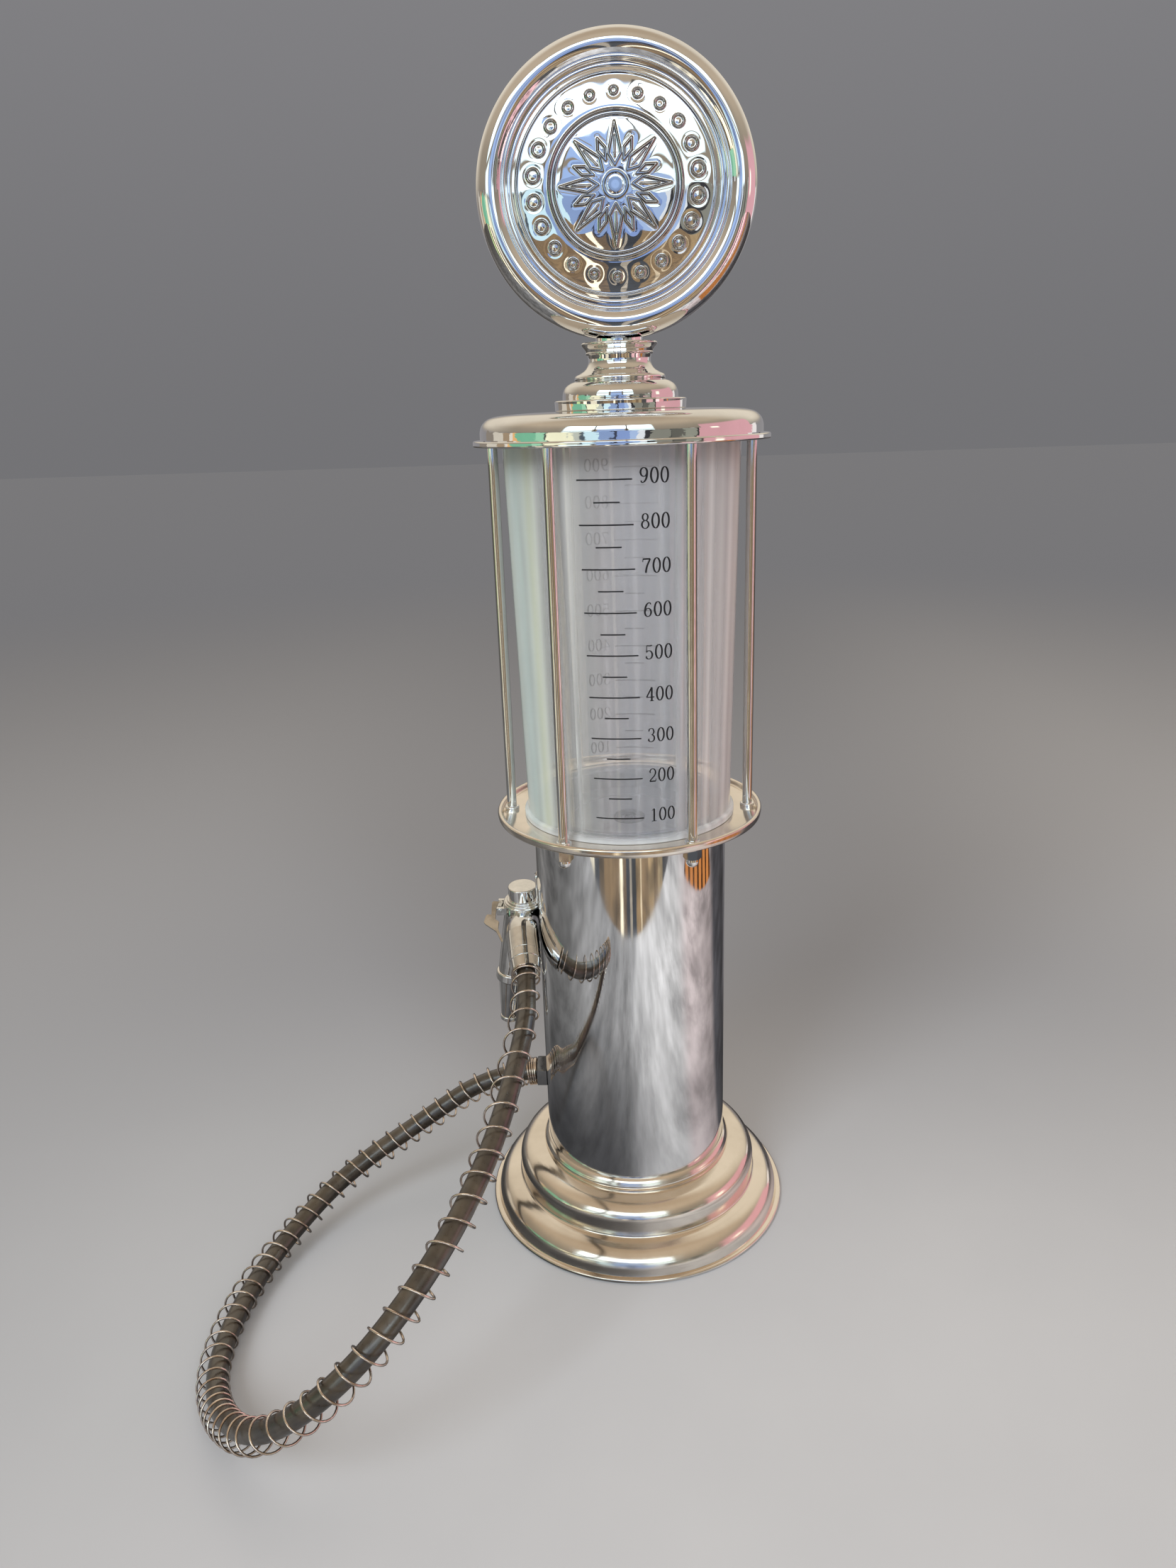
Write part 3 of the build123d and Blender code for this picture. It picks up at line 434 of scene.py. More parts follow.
def clear_plastic(name):
    """Clear moulded plastic, faintly bluish; its foot flange is milky where it is thick. Its walls carry painted
    highlights as milky bands set by the angle round the tank, and a tint of painted reflection colours.
    """
    m, nt, b = mat_new(name)
    b.inputs["IOR"].default_value = 1.46
    tc = nt.nodes.new("ShaderNodeTexCoord").outputs["Object"]
    sep = nt.nodes.new("ShaderNodeSeparateXYZ")
    nt.links.new(tc, sep.inputs[0])
    mr = node(nt, "ShaderNodeMapRange")
    mr.inputs["From Min"].default_value = 0.1985
    mr.inputs["From Max"].default_value = 0.2022
    nt.links.new(sep.outputs["Z"], mr.inputs["Value"])
    tr = ramp(nt, mr.outputs["Result"], [(0.0, g(0.50)), (0.45, g(0.60)), (0.85, g(0.90))])
    lw = nt.nodes.new("ShaderNodeLayerWeight")
    lw.inputs["Blend"].default_value = 0.5
    edge = ramp(nt, lw.outputs["Facing"], [(0.45, g(1.0)), (0.93, g(0.62))])
    mul = node(nt, "ShaderNodeMath", operation="MULTIPLY")
    nt.links.new(tr.outputs["Color"], mul.inputs[0])
    nt.links.new(edge.outputs["Color"], mul.inputs[1])
    neg = node(nt, "ShaderNodeMath", operation="MULTIPLY")
    neg.inputs[1].default_value = -1.0
    nt.links.new(sep.outputs["Y"], neg.inputs[0])
    ang = node(nt, "ShaderNodeMath", operation="ARCTAN2")
    nt.links.new(sep.outputs["X"], ang.inputs[0])
    nt.links.new(neg.outputs[0], ang.inputs[1])
    turn = node(nt, "ShaderNodeMath", operation="MULTIPLY_ADD")
    turn.inputs[1].default_value = 0.5 / math.pi
    turn.inputs[2].default_value = 0.5
    nt.links.new(ang.outputs[0], turn.inputs[0])
    # painted highlights: the wall turns milky in bands at set angles round the tank, in place of bright streaks of
    # reflected light; noise breaks them into vertical streaks, and the wall grows more milky towards the top
    left = [(-180, 0.03), (-145, 0.04), (-118, 0.17), (-88, 0.33), (-66, 0.38), (-56, 0.31), (-52.5, 0.40), (-49, 0.34), (-45, 0.34), (-41.5, 0.12),
            (-39, 0.10), (-36, 0.22), (-33, 0.24), (-30, 0.10), (-27, 0.13), (-25, 0.19), (-22, 0.05), (-16, 0.03),
            (-14, 0.09), (-12, 0.03), (-10, 0.03), (-8.5, 0.10), (-6, 0.03), (4.5, 0.03), (6, 0.10), (7.5, 0.03),
            (10, 0.02)]
    right = [(10, 0.02), (17, 0.03), (19, 0.10), (21, 0.03), (25, 0.04), (27, 0.14), (30, 0.19), (32, 0.17), (33.5, 0.06),
             (36, 0.06), (38, 0.16), (40, 0.09), (44, 0.15), (46, 0.40), (49, 0.12), (55, 0.22), (59, 0.10), (64, 0.36),
             (68, 0.16), (78, 0.30), (112, 0.18), (142, 0.05), (180, 0.03)]
    painted_glint_l = ramp(nt, turn.outputs[0], [((d + 180) / 360, g(v)) for d, v in left])
    painted_glint_r = ramp(nt, turn.outputs[0], [((d + 180) / 360, g(v)) for d, v in right])
    painted_glints = node(nt, "ShaderNodeMath", operation="MAXIMUM")
    nt.links.new(painted_glint_l.outputs["Color"], painted_glints.inputs[0])
    nt.links.new(painted_glint_r.outputs["Color"], painted_glints.inputs[1])
    vz = noise(nt, tc, 34.0, 3.0, 0.55, (1, 1, 0.10))
    vr = ramp(nt, vz.outputs["Fac"], [(0.36, g(0.55)), (0.64, g(1.35))])
    hm = node(nt, "ShaderNodeMath", operation="MULTIPLY")
    high = node(nt, "ShaderNodeMapRange")
    high.inputs["From Min"].default_value = 0.262
    high.inputs["From Max"].default_value = 0.330
    high.inputs["To Max"].default_value = 0.08
    nt.links.new(sep.outputs["Z"], high.inputs["Value"])
    painted_glints_and_top = node(nt, "ShaderNodeMath", operation="ADD")
    nt.links.new(painted_glints.outputs[0], painted_glints_and_top.inputs[0])
    nt.links.new(high.outputs["Result"], painted_glints_and_top.inputs[1])
    nt.links.new(painted_glints_and_top.outputs[0], hm.inputs[0])
    nt.links.new(vr.outputs["Color"], hm.inputs[1])
    inv = node(nt, "ShaderNodeMath", operation="SUBTRACT", use_clamp=True)
    inv.inputs[0].default_value = 1.0
    nt.links.new(hm.outputs[0], inv.inputs[1])
    mul2 = node(nt, "ShaderNodeMath", operation="MULTIPLY")
    nt.links.new(mul.outputs[0], mul2.inputs[0])
    nt.links.new(inv.outputs[0], mul2.inputs[1])
    nt.links.new(mul2.outputs[0], b.inputs["Transmission Weight"])
    # painted reflections: the wall's tint turns cyan, yellow and pink at set angles round the tank, in place of
    # coloured things of the room seen in it
    painted_reflection_tint = ramp(nt, turn.outputs[0], [((d + 180) / 360, c) for d, c in (
        (-180, (0.94, 0.96, 0.985)), (-95, (0.91, 0.965, 0.975)), (-60, (0.885, 0.985, 0.97)), (-53, (0.93, 0.985, 0.94)),
        (-49, (0.95, 0.985, 0.82)), (-45, (0.95, 0.975, 0.92)), (-38, (0.96, 0.95, 0.97)), (-24, (0.975, 0.965, 0.945)),
        (-8, (0.95, 0.93, 0.955)), (12, (0.895, 0.91, 0.965)), (34, (0.95, 0.95, 0.97)), (48, (0.985, 0.965, 0.965)),
        (68, (0.985, 0.945, 0.955)), (80, (0.965, 0.96, 0.97)), (180, (0.94, 0.96, 0.985)))])
    col = nt.nodes.new("ShaderNodeMix")
    col.data_type = "RGBA"
    nt.links.new(mr.outputs["Result"], col.inputs["Factor"])
    col.inputs["A"].default_value = (0.90, 0.91, 0.92, 1)
    nt.links.new(painted_reflection_tint.outputs["Color"], col.inputs["B"])
    nt.links.new(col.outputs["Result"], b.inputs["Base Color"])
    hz = noise(nt, tc, 26.0, 5.0, 0.6, (1, 1, 0.15))
    rr = ramp(nt, hz.outputs["Fac"], [(0.35, g(0.015)), (0.75, g(0.06))])
    nt.links.new(rr.outputs["Color"], b.inputs["Roughness"])
    wv = noise(nt, tc, 24.0, 1.0, 0.4, (1, 1, 0.25))
    bp = node(nt, "ShaderNodeBump", Strength=0.04, Distance=0.001)
    nt.links.new(wv.outputs["Fac"], bp.inputs["Height"])
    nt.links.new(bp.outputs["Normal"], b.inputs["Normal"])
    return m


CLEAR = clear_plastic("clear_tank")


def frosted(name):
    m, nt, b = mat_new(name)
    tc = nt.nodes.new("ShaderNodeTexCoord").outputs["Object"]
    n1 = noise(nt, tc, 180.0, 4.0, 0.6)
    cr = ramp(nt, n1.outputs["Fac"], [(0.3, (0.72, 0.75, 0.78)), (0.7, (0.80, 0.82, 0.84))])
    nt.links.new(cr.outputs["Color"], b.inputs["Base Color"])
    rr = ramp(nt, n1.outputs["Fac"], [(0.3, g(0.12)), (0.7, g(0.22))])
    nt.links.new(rr.outputs["Color"], b.inputs["Roughness"])
    b.inputs["Transmission Weight"].default_value = 0.72
    b.inputs["IOR"].default_value = 1.46
    return m


FROSTED = frosted("frosted_plastic")

# ---------------------------------------------------- turned pieces of the stand
skirt = lathe("skirt_shell", profile(
    (67.6, 0.3),
    ("L", (69.8, 0.3)),
    ("A", (70.8, 1.3), (69.8, 2.3)),
    ("L", (68.6, 2.35)),
    ("S", [(68.2, 3.6), (67.7, 5.6), (66.4, 8.4), (63.7, 11.2), (60.4, 12.6), (58.0, 13.3)]),
    ("A", (57.15, 13.75), (56.9, 14.6)),
    ("L", (56.9, 19.8)),
    ("S", [(56.8, 21.4), (56.0, 23.8), (54.2, 26.2), (51.2, 27.9), (48.0, 28.6), (44.6, 28.9)]),
    ("L", (42.5, 28.9)),
    ("L", (42.5, 27.7)),
    ("L", (47.6, 27.4)),
    ("S", [(50.6, 26.7), (53.2, 25.2), (54.8, 23.2), (55.6, 21.2), (55.7, 19.8)]),
    ("L", (55.7, 14.0)),
    ("A", (56.1, 12.8), (57.3, 12.2)),
    ("S", [(60.0, 11.5), (62.9, 10.2), (65.3, 7.8), (66.5, 5.3), (67.0, 3.4), (67.2, 2.3)]),
    ("L", (67.2, 0.7)),
), segs=320)
collar = lathe("collar_ring", profile(
    (42.4, 28.9), ("L", (44.35, 28.9)), ("A", (44.75, 30.3), (44.3, 31.7)), ("A", (43.5, 33.1), (42.75, 33.9)),
    ("L", (42.4, 33.9))), segs=256)
column = lathe("column_tube", profile((41.4, 24.0), ("L", (42.4, 24.0)), ("L", (42.4, 110.0)), ("L", (42.4, 197.1)),
                                      ("L", (41.4, 197.1))), segs=320)
gallery = lathe("gallery_plate", profile(
    (40.2, 198.6),
    ("L", (40.2, 190.4)),
    ("L", (41.3, 190.4)),
    ("L", (41.3, 197.1)),
    ("L", (56.4, 197.1)),
    ("S", [(57.1, 197.15), (57.75, 197.6), (58.08, 198.6), (58.15, 199.7)]),
    ("A", (57.25, 200.95), (56.15, 199.8)),
    ("S", [(56.05, 199.2), (55.8, 198.8), (55.3, 198.6)]),
    ("L", (48.0, 198.6)),
), segs=320)
top_flange = lathe("top_flange", profile(
    (44.2, 354.1),
    ("L", (44.8, 354.1)),
    ("L", (44.8, 355.5)),
    ("L", (48.4, 355.5)),
    ("L", (48.4, 354.1)),
    ("L", (58.9, 354.1)),
    ("A", (59.3, 354.4), (59.35, 354.9)),
    ("L", (59.35, 355.7)),
    ("A", (59.15, 356.2), (58.6, 356.4)),
    ("L", (54.7, 356.4)),
    ("L", (54.7, 360.6)),
    ("L", (53.6, 361.0)),
    ("L", (49.6, 361.0)),
    ("L", (49.6, 356.6)),
    ("L", (44.2, 356.6)),
), segs=288)
tank = lathe("tank_body", profile(
    (4.1, 189.0),
    ("L", (38.8, 189.0)),
    ("A", (39.5, 189.3), (39.8, 190.0)),
    ("L", (39.8, 198.63)),
    ("L", (45.9, 198.63)),
    ("A", (46.15, 198.75), (46.2, 199.0)),
    ("L", (46.2, 200.4)),
    ("A", (45.9, 201.1), (45.2, 201.4)),
    ("A", (44.65, 201.6), (44.45, 202.0)),
    ("L", (47.85, 354.45)),
    ("L", (45.5, 354.45)),
    ("L", (42.1, 202.0)),
    ("A", (41.8, 201.2), (41.0, 200.9)),
    ("L", (38.2, 200.9)),
    ("A", (37.6, 200.65), (37.3, 200.0)),
    ("L", (37.3, 192.0)),
    ("A", (37.1, 191.5), (36.6, 191.3)),
    ("L", (27.6, 191.3)),
    ("A", (27.0, 192.0), (26.4, 191.3)),
    ("L", (4.1, 191.3)),
), segs=288, sharp=40)

# rods and bosses, six of each
A6 = [math.radians(60 * k) for k in range(6)]


def six(name, prof, segs=40, sharp=30):
    one = np.asarray(prof) * MM
    a = np.linspace(0, 2 * math.pi, segs, endpoint=False)
    verts, faces = [], []
    n = len(one)
    for ang in A6:
        cx, cy = 52.2 * MM * math.cos(ang), 52.2 * MM * math.sin(ang)
        base = len(verts)
        for t in a:
            for r, z in one:
                verts.append((cx + r * math.cos(t), cy + r * math.sin(t), z))
        for i in range(segs):
            i2 = (i + 1) % segs
            for j in range(n - 1):
                faces.append((base + i * n + j, base + i2 * n + j, base + i2 * n + j + 1, base + i * n + j + 1))
    return new_object(name, verts, faces, sharp=sharp)


rods = six("cage_rods", profile((0.0, 192.0), ("L", (1.7, 192.0)), ("L", (1.7, 200.3)), ("L", (2.1, 200.3)), ("L", (2.1, 278.0)),
                                ("L", (2.1, 354.1)), ("L", (1.7, 354.1)), ("L", (1.7, 357.8)), ("L", (0.0, 357.8))))
bosses = six("rod_feet", profile((1.7, 198.6), ("L", (3.2, 198.6)), ("L", (3.2, 199.6)), ("A", (2.98, 200.1), (2.5, 200.3)),
                                 ("L", (1.7, 200.3))))

# ------------------------------------------------------------- lid and neck
lid = lathe("lid_cap", profile(
    (0.02, 365.2),
    ("L", (30.0, 365.2)),
    ("S", [(38.0, 365.02), (44.8, 364.62), (49.6, 364.1), (52.7, 363.2), (54.4, 361.6), (55.15, 359.7), (55.25, 358.2)]),
    ("L", (55.25, 356.7)),
    ("L", (56.45, 356.7)),
    ("L", (56.45, 358.2)),
    ("S", [(56.35, 359.8), (55.5, 362.2), (53.4, 364.2), (50.0, 365.3), (45.0, 365.82), (38.0, 366.22), (30.0, 366.4)]),
    ("L", (15.0, 366.4)),
    ("L", (0.02, 366.4)),
), segs=320)
neck_prof = profile(
    (0.02, 366.4),
    ("L", (25.5, 366.4)),
    ("A", (25.88, 366.55), (26.0, 367.0)),
    ("L", (26.15, 369.8)),
    ("A", (26.05, 370.2), (25.6, 370.4)),
    ("L", (22.9, 370.6)),
    ("S", [(22.9, 371.8), (22.6, 373.6), (21.6, 375.4), (19.8, 376.7), (18.2, 377.3)]),
    ("L", (17.75, 377.6)),
    ("A", (17.9, 378.6), (17.3, 379.5)),
    ("S", [(15.4, 380.4), (13.6, 381.6), (12.5, 383.4), (12.25, 385.2), (12.5, 386.8)]),
    ("L", (13.0, 387.0)),
    ("A", (13.3, 387.4), (13.1, 387.9)),
    ("S", [(13.5, 388.9), (14.35, 389.9), (14.8, 390.5)]),
    ("A", (14.9, 391.1), (14.2, 391.4)),
    ("L", (9.6, 391.2)),
    ("L", (9.2, 391.8)),
    ("L", (9.2, 394.4)),
    ("L", (0.02, 394.4)),
)
neck = lathe("neck_turned", neck_prof, segs=256)
for v in neck.data.vertices:
    lim = 445.0 * MM - math.sqrt(max((52.63 * MM) ** 2 - v.co.x**2, 0))
    if v.co.z > 391.5 * MM and abs(v.co.x) < 20 * MM:
        v.co.z = min(v.co.z, lim)
neck.data.update()

# ------------------------------------------------------------ the round sign
FACE_R = 38.6


def face_height(r):
    h = 4.6
    big = (FACE_R * FACE_R + h * h) / (2 * h)
    return 11.0 - (big - np.sqrt(big * big - r * r))


def relief(x, y):
    """Pressed ornament on the sign's face: rings, a ring of graduated beads and a rayed star. Millimetres."""
    r = np.hypot(x, y)
    th = np.arctan2(y, x)
    out = np.zeros_like(r)
    dent = np.zeros_like(r)

    def ridge(d, w=0.40, h=0.60, soft=1.5, low=0.16):
        nonlocal out, dent
        out = np.maximum(out, h * np.exp(-((d / w) ** 2)))
        dent = np.maximum(dent, low * np.exp(-((d / soft) ** 2)))

    ridge(np.abs(r - 37.0), 0.40, 0.40, 1.0, 0.06)
    ridge(np.abs(r - 24.6), 0.42)
    ridge(np.abs(r - 22.9), 0.36, 0.42)
    for k in range(22):
        a = 2 * math.pi * (k + 0.5) / 22
        rad = 1.25 + 1.05 * abs(math.cos(a)) ** 1.3
        d = np.hypot(x - 30.8 * math.cos(a), y - 30.8 * math.sin(a))
        ridge(np.abs(d - rad), 0.40, 0.50, 1.3, 0.18)
        out = np.maximum(out, 0.16 * np.exp(-((d / (rad * 0.55)) ** 2)))
    # eight long rays and eight short ones between them, each an outline, the long ones with a spine
    for k in range(16):
        a = 2 * math.pi * k / 16 + math.pi / 2
        long_ray = k % 2 == 0
        r0, rm, r1, w = (6.4, 10.2, 20.6, 2.35) if long_ray else (8.6, 12.6, 16.4, 1.45)
        u = x * math.cos(a) + y * math.sin(a)
        v = -x * math.sin(a) + y * math.cos(a)
        pts = [(r0, 0.0), (rm, w), (r1, 0.0), (rm, -w), (r0, 0.0)]
        near = (u > r0 - 3) & (u < r1 + 3) & (np.abs(v) < w + 3)
        d = np.full_like(r, 9.0)
        for (u0, v0), (u1, v1) in zip(pts[:-1], pts[1:]):
            du, dv = u1 - u0, v1 - v0
            t = np.clip(((u - u0) * du + (v - v0) * dv) / (du * du + dv * dv), 0, 1)
            d = np.minimum(d, np.hypot(u - u0 - t * du, v - v0 - t * dv))
        d = np.where(near, d, 9.0)
        ridge(d, 0.38, 0.50, 1.3, 0.16)
        if long_ray:
            t = np.clip(u, rm - 1.0, r1 - 4.5)
            ridge(np.where(near, np.hypot(u - t, v), 9.0), 0.30, 0.30, 0.8, 0.05)
    ridge(np.abs(r - 4.3), 0.42)
    out = np.maximum(out, 0.75 * np.exp(-((r / 2.1) ** 4)))
    fade = np.clip((38.2 - r) / 0.8, 0, 1)
    return (out - dent * (1 - out / 0.5).clip(0, 1)) * fade


def sign_shell(name, axis, rings, segs):
    rim = profile(
        (51.6, 0.15),
        ("L", (52.6, 0.15)),
        ("S", [(52.6, 2.2), (52.1, 4.6), (50.7, 7.0), (48.6, 8.7), (46.6, 9.2), (44.8, 8.9), (43.4, 8.0)]),
        ("L", (42.6, 7.3)),
        ("A", (41.7, 7.95), (40.9, 7.2)),
        ("L", (40.3, 6.5)),
        ("A", (39.5, 6.8), (FACE_R, 6.4)),
    )
    rr = np.linspace(FACE_R, 0.05, rings + 1)[1:]
    face = np.stack([rr, face_height(rr)], -1)
    prof = np.vstack([rim, face])
    a = np.linspace(0, 2 * math.pi, segs, endpoint=False)
    r = prof[:, 0][None, :] * np.ones((segs, 1))
    h = prof[:, 1][None, :] * np.ones((segs, 1))
    x, y = r * np.cos(a)[:, None], r * np.sin(a)[:, None]
    inner = r < FACE_R - 0.01
    h = h + np.where(inner, relief(x, y), 0.0) * np.where(inner, 1.0, 0.0) - np.where(inner, 0.0, 0.0)
    h = np.minimum(h, 11.0)
    if axis == "-Y":
        pts = np.stack([x, -h, y], -1)
    else:
        pts = np.stack([-x, h, y], -1)
    pts = pts + np.array([0, 0, 445.0])
    ob = grid_object(name, pts * MM, close_u=True, sharp=55)
    # steepness of the relief, stored per point for the face's painted flank shade
    e = 0.06
    gx = (relief(x + e, y) - relief(x - e, y)) / (2 * e)
    gy = (relief(x, y + e) - relief(x, y - e)) / (2 * e)
    steep = np.where(inner, np.clip((np.hypot(gx, gy) - 0.22) / 0.75, 0, 1), 0.0)
    shade_at = ob.data.attributes.new("painted_flank_shade", "FLOAT", "POINT")
    shade_at.data.foreach_set("value", steep.reshape(-1).astype(np.float32))
    return ob


sign_front = sign_shell("sign_front_shell", "-Y", 190, 720)
sign_back = sign_shell("sign_back_shell", "+Y", 150, 540)

# ------------------------------------------------------------ printed scale
NIB_X, NIB_Y = 0.062, 0.027


def arc_pts(cx, cy, rx, ry, a0, a1, n=26):
    return [(cx + rx * math.cos(math.radians(a0 + (a1 - a0) * k / n)), cy + ry * math.sin(math.radians(a0 + (a1 - a0) * k / n)))
            for k in range(n + 1)]


def bez(p0, p1, p2, p3, n=16):
    out = []
    for k in range(n + 1):
        t = k / n
        m = 1 - t
        out.append(tuple(m**3 * a + 3 * m * m * t * b + 3 * m * t * t * c + t**3 * d
                         for a, b, c, d in zip(p0, p1, p2, p3)))
    return out


def digit_strokes(d):
    """Centre lines (with a nib scale) and dots of a book-face digit on a 0.62 by 1 field."""
    L, dots = [], []
    if d == "0":
        L.append((arc_pts(0.31, 0.5, 0.22, 0.475, 90, 450, 44), 1.0))
    elif d == "1":
        L += [([(0.33, 0.03), (0.33, 0.95)], 1.0), ([(0.14, 0.82), (0.22, 0.85), (0.33, 0.96)], 0.5),
              ([(0.15, 0.02), (0.51, 0.02)], 0.9)]
    elif d == "2":
        L.append((arc_pts(0.30, 0.71, 0.205, 0.265, 170, -20, 26)
                  + bez((0.495, 0.62), (0.47, 0.43), (0.22, 0.28), (0.09, 0.07), 14)[1:], 0.85))
        L.append(([(0.08, 0.055), (0.52, 0.055)], 1.7))
        L.append(([(0.52, 0.05), (0.545, 0.24)], 0.4))
        dots.append((0.125, 0.72, 0.062))
    elif d == "3":
        L.append((arc_pts(0.28, 0.745, 0.185, 0.23, 155, -88, 26), 0.85))
        L.append((arc_pts(0.28, 0.27, 0.22, 0.25, 88, -160, 28), 0.9))
        dots += [(0.125, 0.81, 0.058), (0.105, 0.20, 0.062)]
    elif d == "4":
        L += [([(0.40, 0.96), (0.40, 0.03)], 1.0), ([(0.40, 0.97), (0.045, 0.29)], 0.85),
              ([(0.03, 0.28), (0.58, 0.28)], 1.2), ([(0.27, 0.02), (0.54, 0.02)], 0.9)]
    elif d == "5":
        L += [([(0.14, 0.955), (0.33, 0.915), (0.50, 0.965)], 1.3), ([(0.14, 0.95), (0.115, 0.50)], 0.45)]
        L.append((arc_pts(0.29, 0.31, 0.225, 0.285, 142, -150, 32), 0.95))
        dots.append((0.115, 0.19, 0.06))
    elif d == "6":
        L.append((arc_pts(0.31, 0.295, 0.205, 0.27, 90, 450, 36), 0.95))
        L.append((bez((0.48, 0.90), (0.34, 1.02), (0.10, 0.80), (0.105, 0.30), 18), 1.0))
        dots.append((0.475, 0.86, 0.055))
    elif d == "7":
        L += [([(0.08, 0.93), (0.55, 0.93)], 1.8), ([(0.08, 0.95), (0.06, 0.74)], 0.4),
              (bez((0.545, 0.92), (0.42, 0.66), (0.27, 0.42), (0.26, 0.03), 14), 0.95)]
    elif d == "8":
        L.append((arc_pts(0.31, 0.745, 0.17, 0.22, 90, 450, 32), 0.85))
        L.append((arc_pts(0.31, 0.275, 0.215, 0.25, 90, 450, 36), 0.9))
    elif d == "9":
        return [([(0.62 - x, 1.0 - y) for x, y in p], w) for p, w in digit_strokes("6")[0]], [
            (0.62 - x, 1.0 - y, r) for x, y, r in digit_strokes("6")[1]]
    return L, dots


def stroke_quads(p, w):
    p = np.array(p, float)
    t = np.gradient(p, axis=0)
    t /= np.maximum(np.linalg.norm(t, axis=1), 1e-9)[:, None]
    half = np.sqrt((NIB_X * t[:, 1]) ** 2 + (NIB_Y * t[:, 0]) ** 2) * w
    n = np.stack([-t[:, 1], t[:, 0]], -1)
    return p + n * half[:, None], p - n * half[:, None]


class Ink:
    """Flat ink laid on the tank's tapered wall; x is the angle from the front in radians, z the height in mm."""

    def __init__(self, turn):
        self.v, self.f, self.turn = [], [], turn

    def put(self, ang, z, lift):
        r = 44.45 + (z - 202.0) * (47.85 - 44.45) / (354.45 - 202.0) + lift
        a = ang - math.pi / 2 + self.turn
        self.v.append((r * MM * math.cos(a), r * MM * math.sin(a), z * MM))
        return len(self.v) - 1

    def strip(self, left, right, lift=0.035):
        ids = [(self.put(*a, lift), self.put(*b, lift)) for a, b in zip(left, right)]
        for (a, b), (c, d) in zip(ids[:-1], ids[1:]):
            self.f.append((a, b, d, c))

    def line(self, a0, a1, z, thick, slope=0.0):
        n = max(2, int(abs(a1 - a0) / 0.02))
        xs = np.linspace(a0, a1, n)
        self.strip([(x, z + thick / 2) for x in xs], [(x, z - thick / 2) for x in xs])

    def digit(self, d, x0, z0, size):
        k = size / 46.0
        strokes, dots = digit_strokes(d)
        for p, w in strokes:
            up_, lo = stroke_quads(p, w)
            self.strip([(x0 + a * k, z0 + b * size) for a, b in up_], [(x0 + a * k, z0 + b * size) for a, b in lo],
                       0.035 + 0.004 * strokes.index((p, w)))
        for cx, cy, r in dots:
            c = self.put(x0 + cx * k, z0 + cy * size, 0.05)
            ring_ = [self.put(x0 + (cx + r * 0.9 * math.cos(t)) * k, z0 + (cy + r * 0.8 * math.sin(t)) * size, 0.05)
                     for t in np.linspace(0, 2 * math.pi, 15)[:-1]]
            for a, b in zip(ring_, ring_[1:] + ring_[:1]):
                self.f.append((c, a, b))


def scale_marks(name, turn):
    ink = Ink(turn)
    for k in range(17):
        u = k / 16.0
        z = 209.5 + (u + 0.02 * u * (1 - u)) * 132.8
        sh = 0.017 - 0.058 * (u - 0.5)
        if k % 2 == 0:
            ink.line(-0.333 + sh, 0.105 + sh, z, 0.52)
            text = str(100 + 50 * k)
            for j, ch in enumerate(text):
                ink.digit(ch, 0.158 + sh + j * 0.0835, z - 1.75, 5.75)
        else:
            ink.line(-0.2045 + sh, 0.0035 + sh, z, 0.52)
    return new_object(name, ink.v, ink.f, smooth=False)


scale_front = scale_marks("tank_scale_front", 0.0)
scale_back = scale_marks("tank_scale_back", math.pi)

# ------------------------------------------------------- bodies and finishes
for piece, nd, body, mat, sl in (
        (skirt, "base_skirt", "stand", CHROME_PRESSED, "chrome"),
        (collar, "column_collar", "stand", CHROME_PRESSED, "chrome"),
        (column, "column", "stand", CHROME_TUBE, "chrome"),
        (gallery, "gallery", "stand", CHROME_PRESSED, "chrome"),
        (top_flange, "top_ring", "stand", CHROME, "chrome"),
        (tank, "tank", "stand", CLEAR, "clear_tank"),
        (rods, "rods", "stand", CHROME_ROD, "chrome"),
        (bosses, "rod_bosses", "stand", CHROME, "chrome"),
        (lid, "lid_dome", "lid", CHROME, "chrome"),
        (neck, "neck", "lid", CHROME, "chrome"),
        (sign_front, "sign_front", "lid", CHROME_FACE, "chrome"),
        (sign_back, "sign_back", "lid", CHROME_FACE, "chrome")):
    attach(piece, body)
    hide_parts(nd)
    dress(piece, mat)
for piece in (scale_front, scale_back):
    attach(piece, "stand")
    dress(piece, INK)
dress(hose, HOSE)
dress(coil, COIL)
# the valve's spring, copied into an object of its own in place of its node
own = nodes["valve_spring"]
turns = own.data.copy()
turns.transform(own.matrix_world)
valve_coil = bpy.data.objects.new("valve_spring_coil", turns)
scene.collection.objects.link(valve_coil)
pts = np.array([v.co[:] for v in turns.vertices])
mid = pts.mean(0)
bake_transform(valve_coil)
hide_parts("valve_spring")
dress(valve_coil, STEEL)

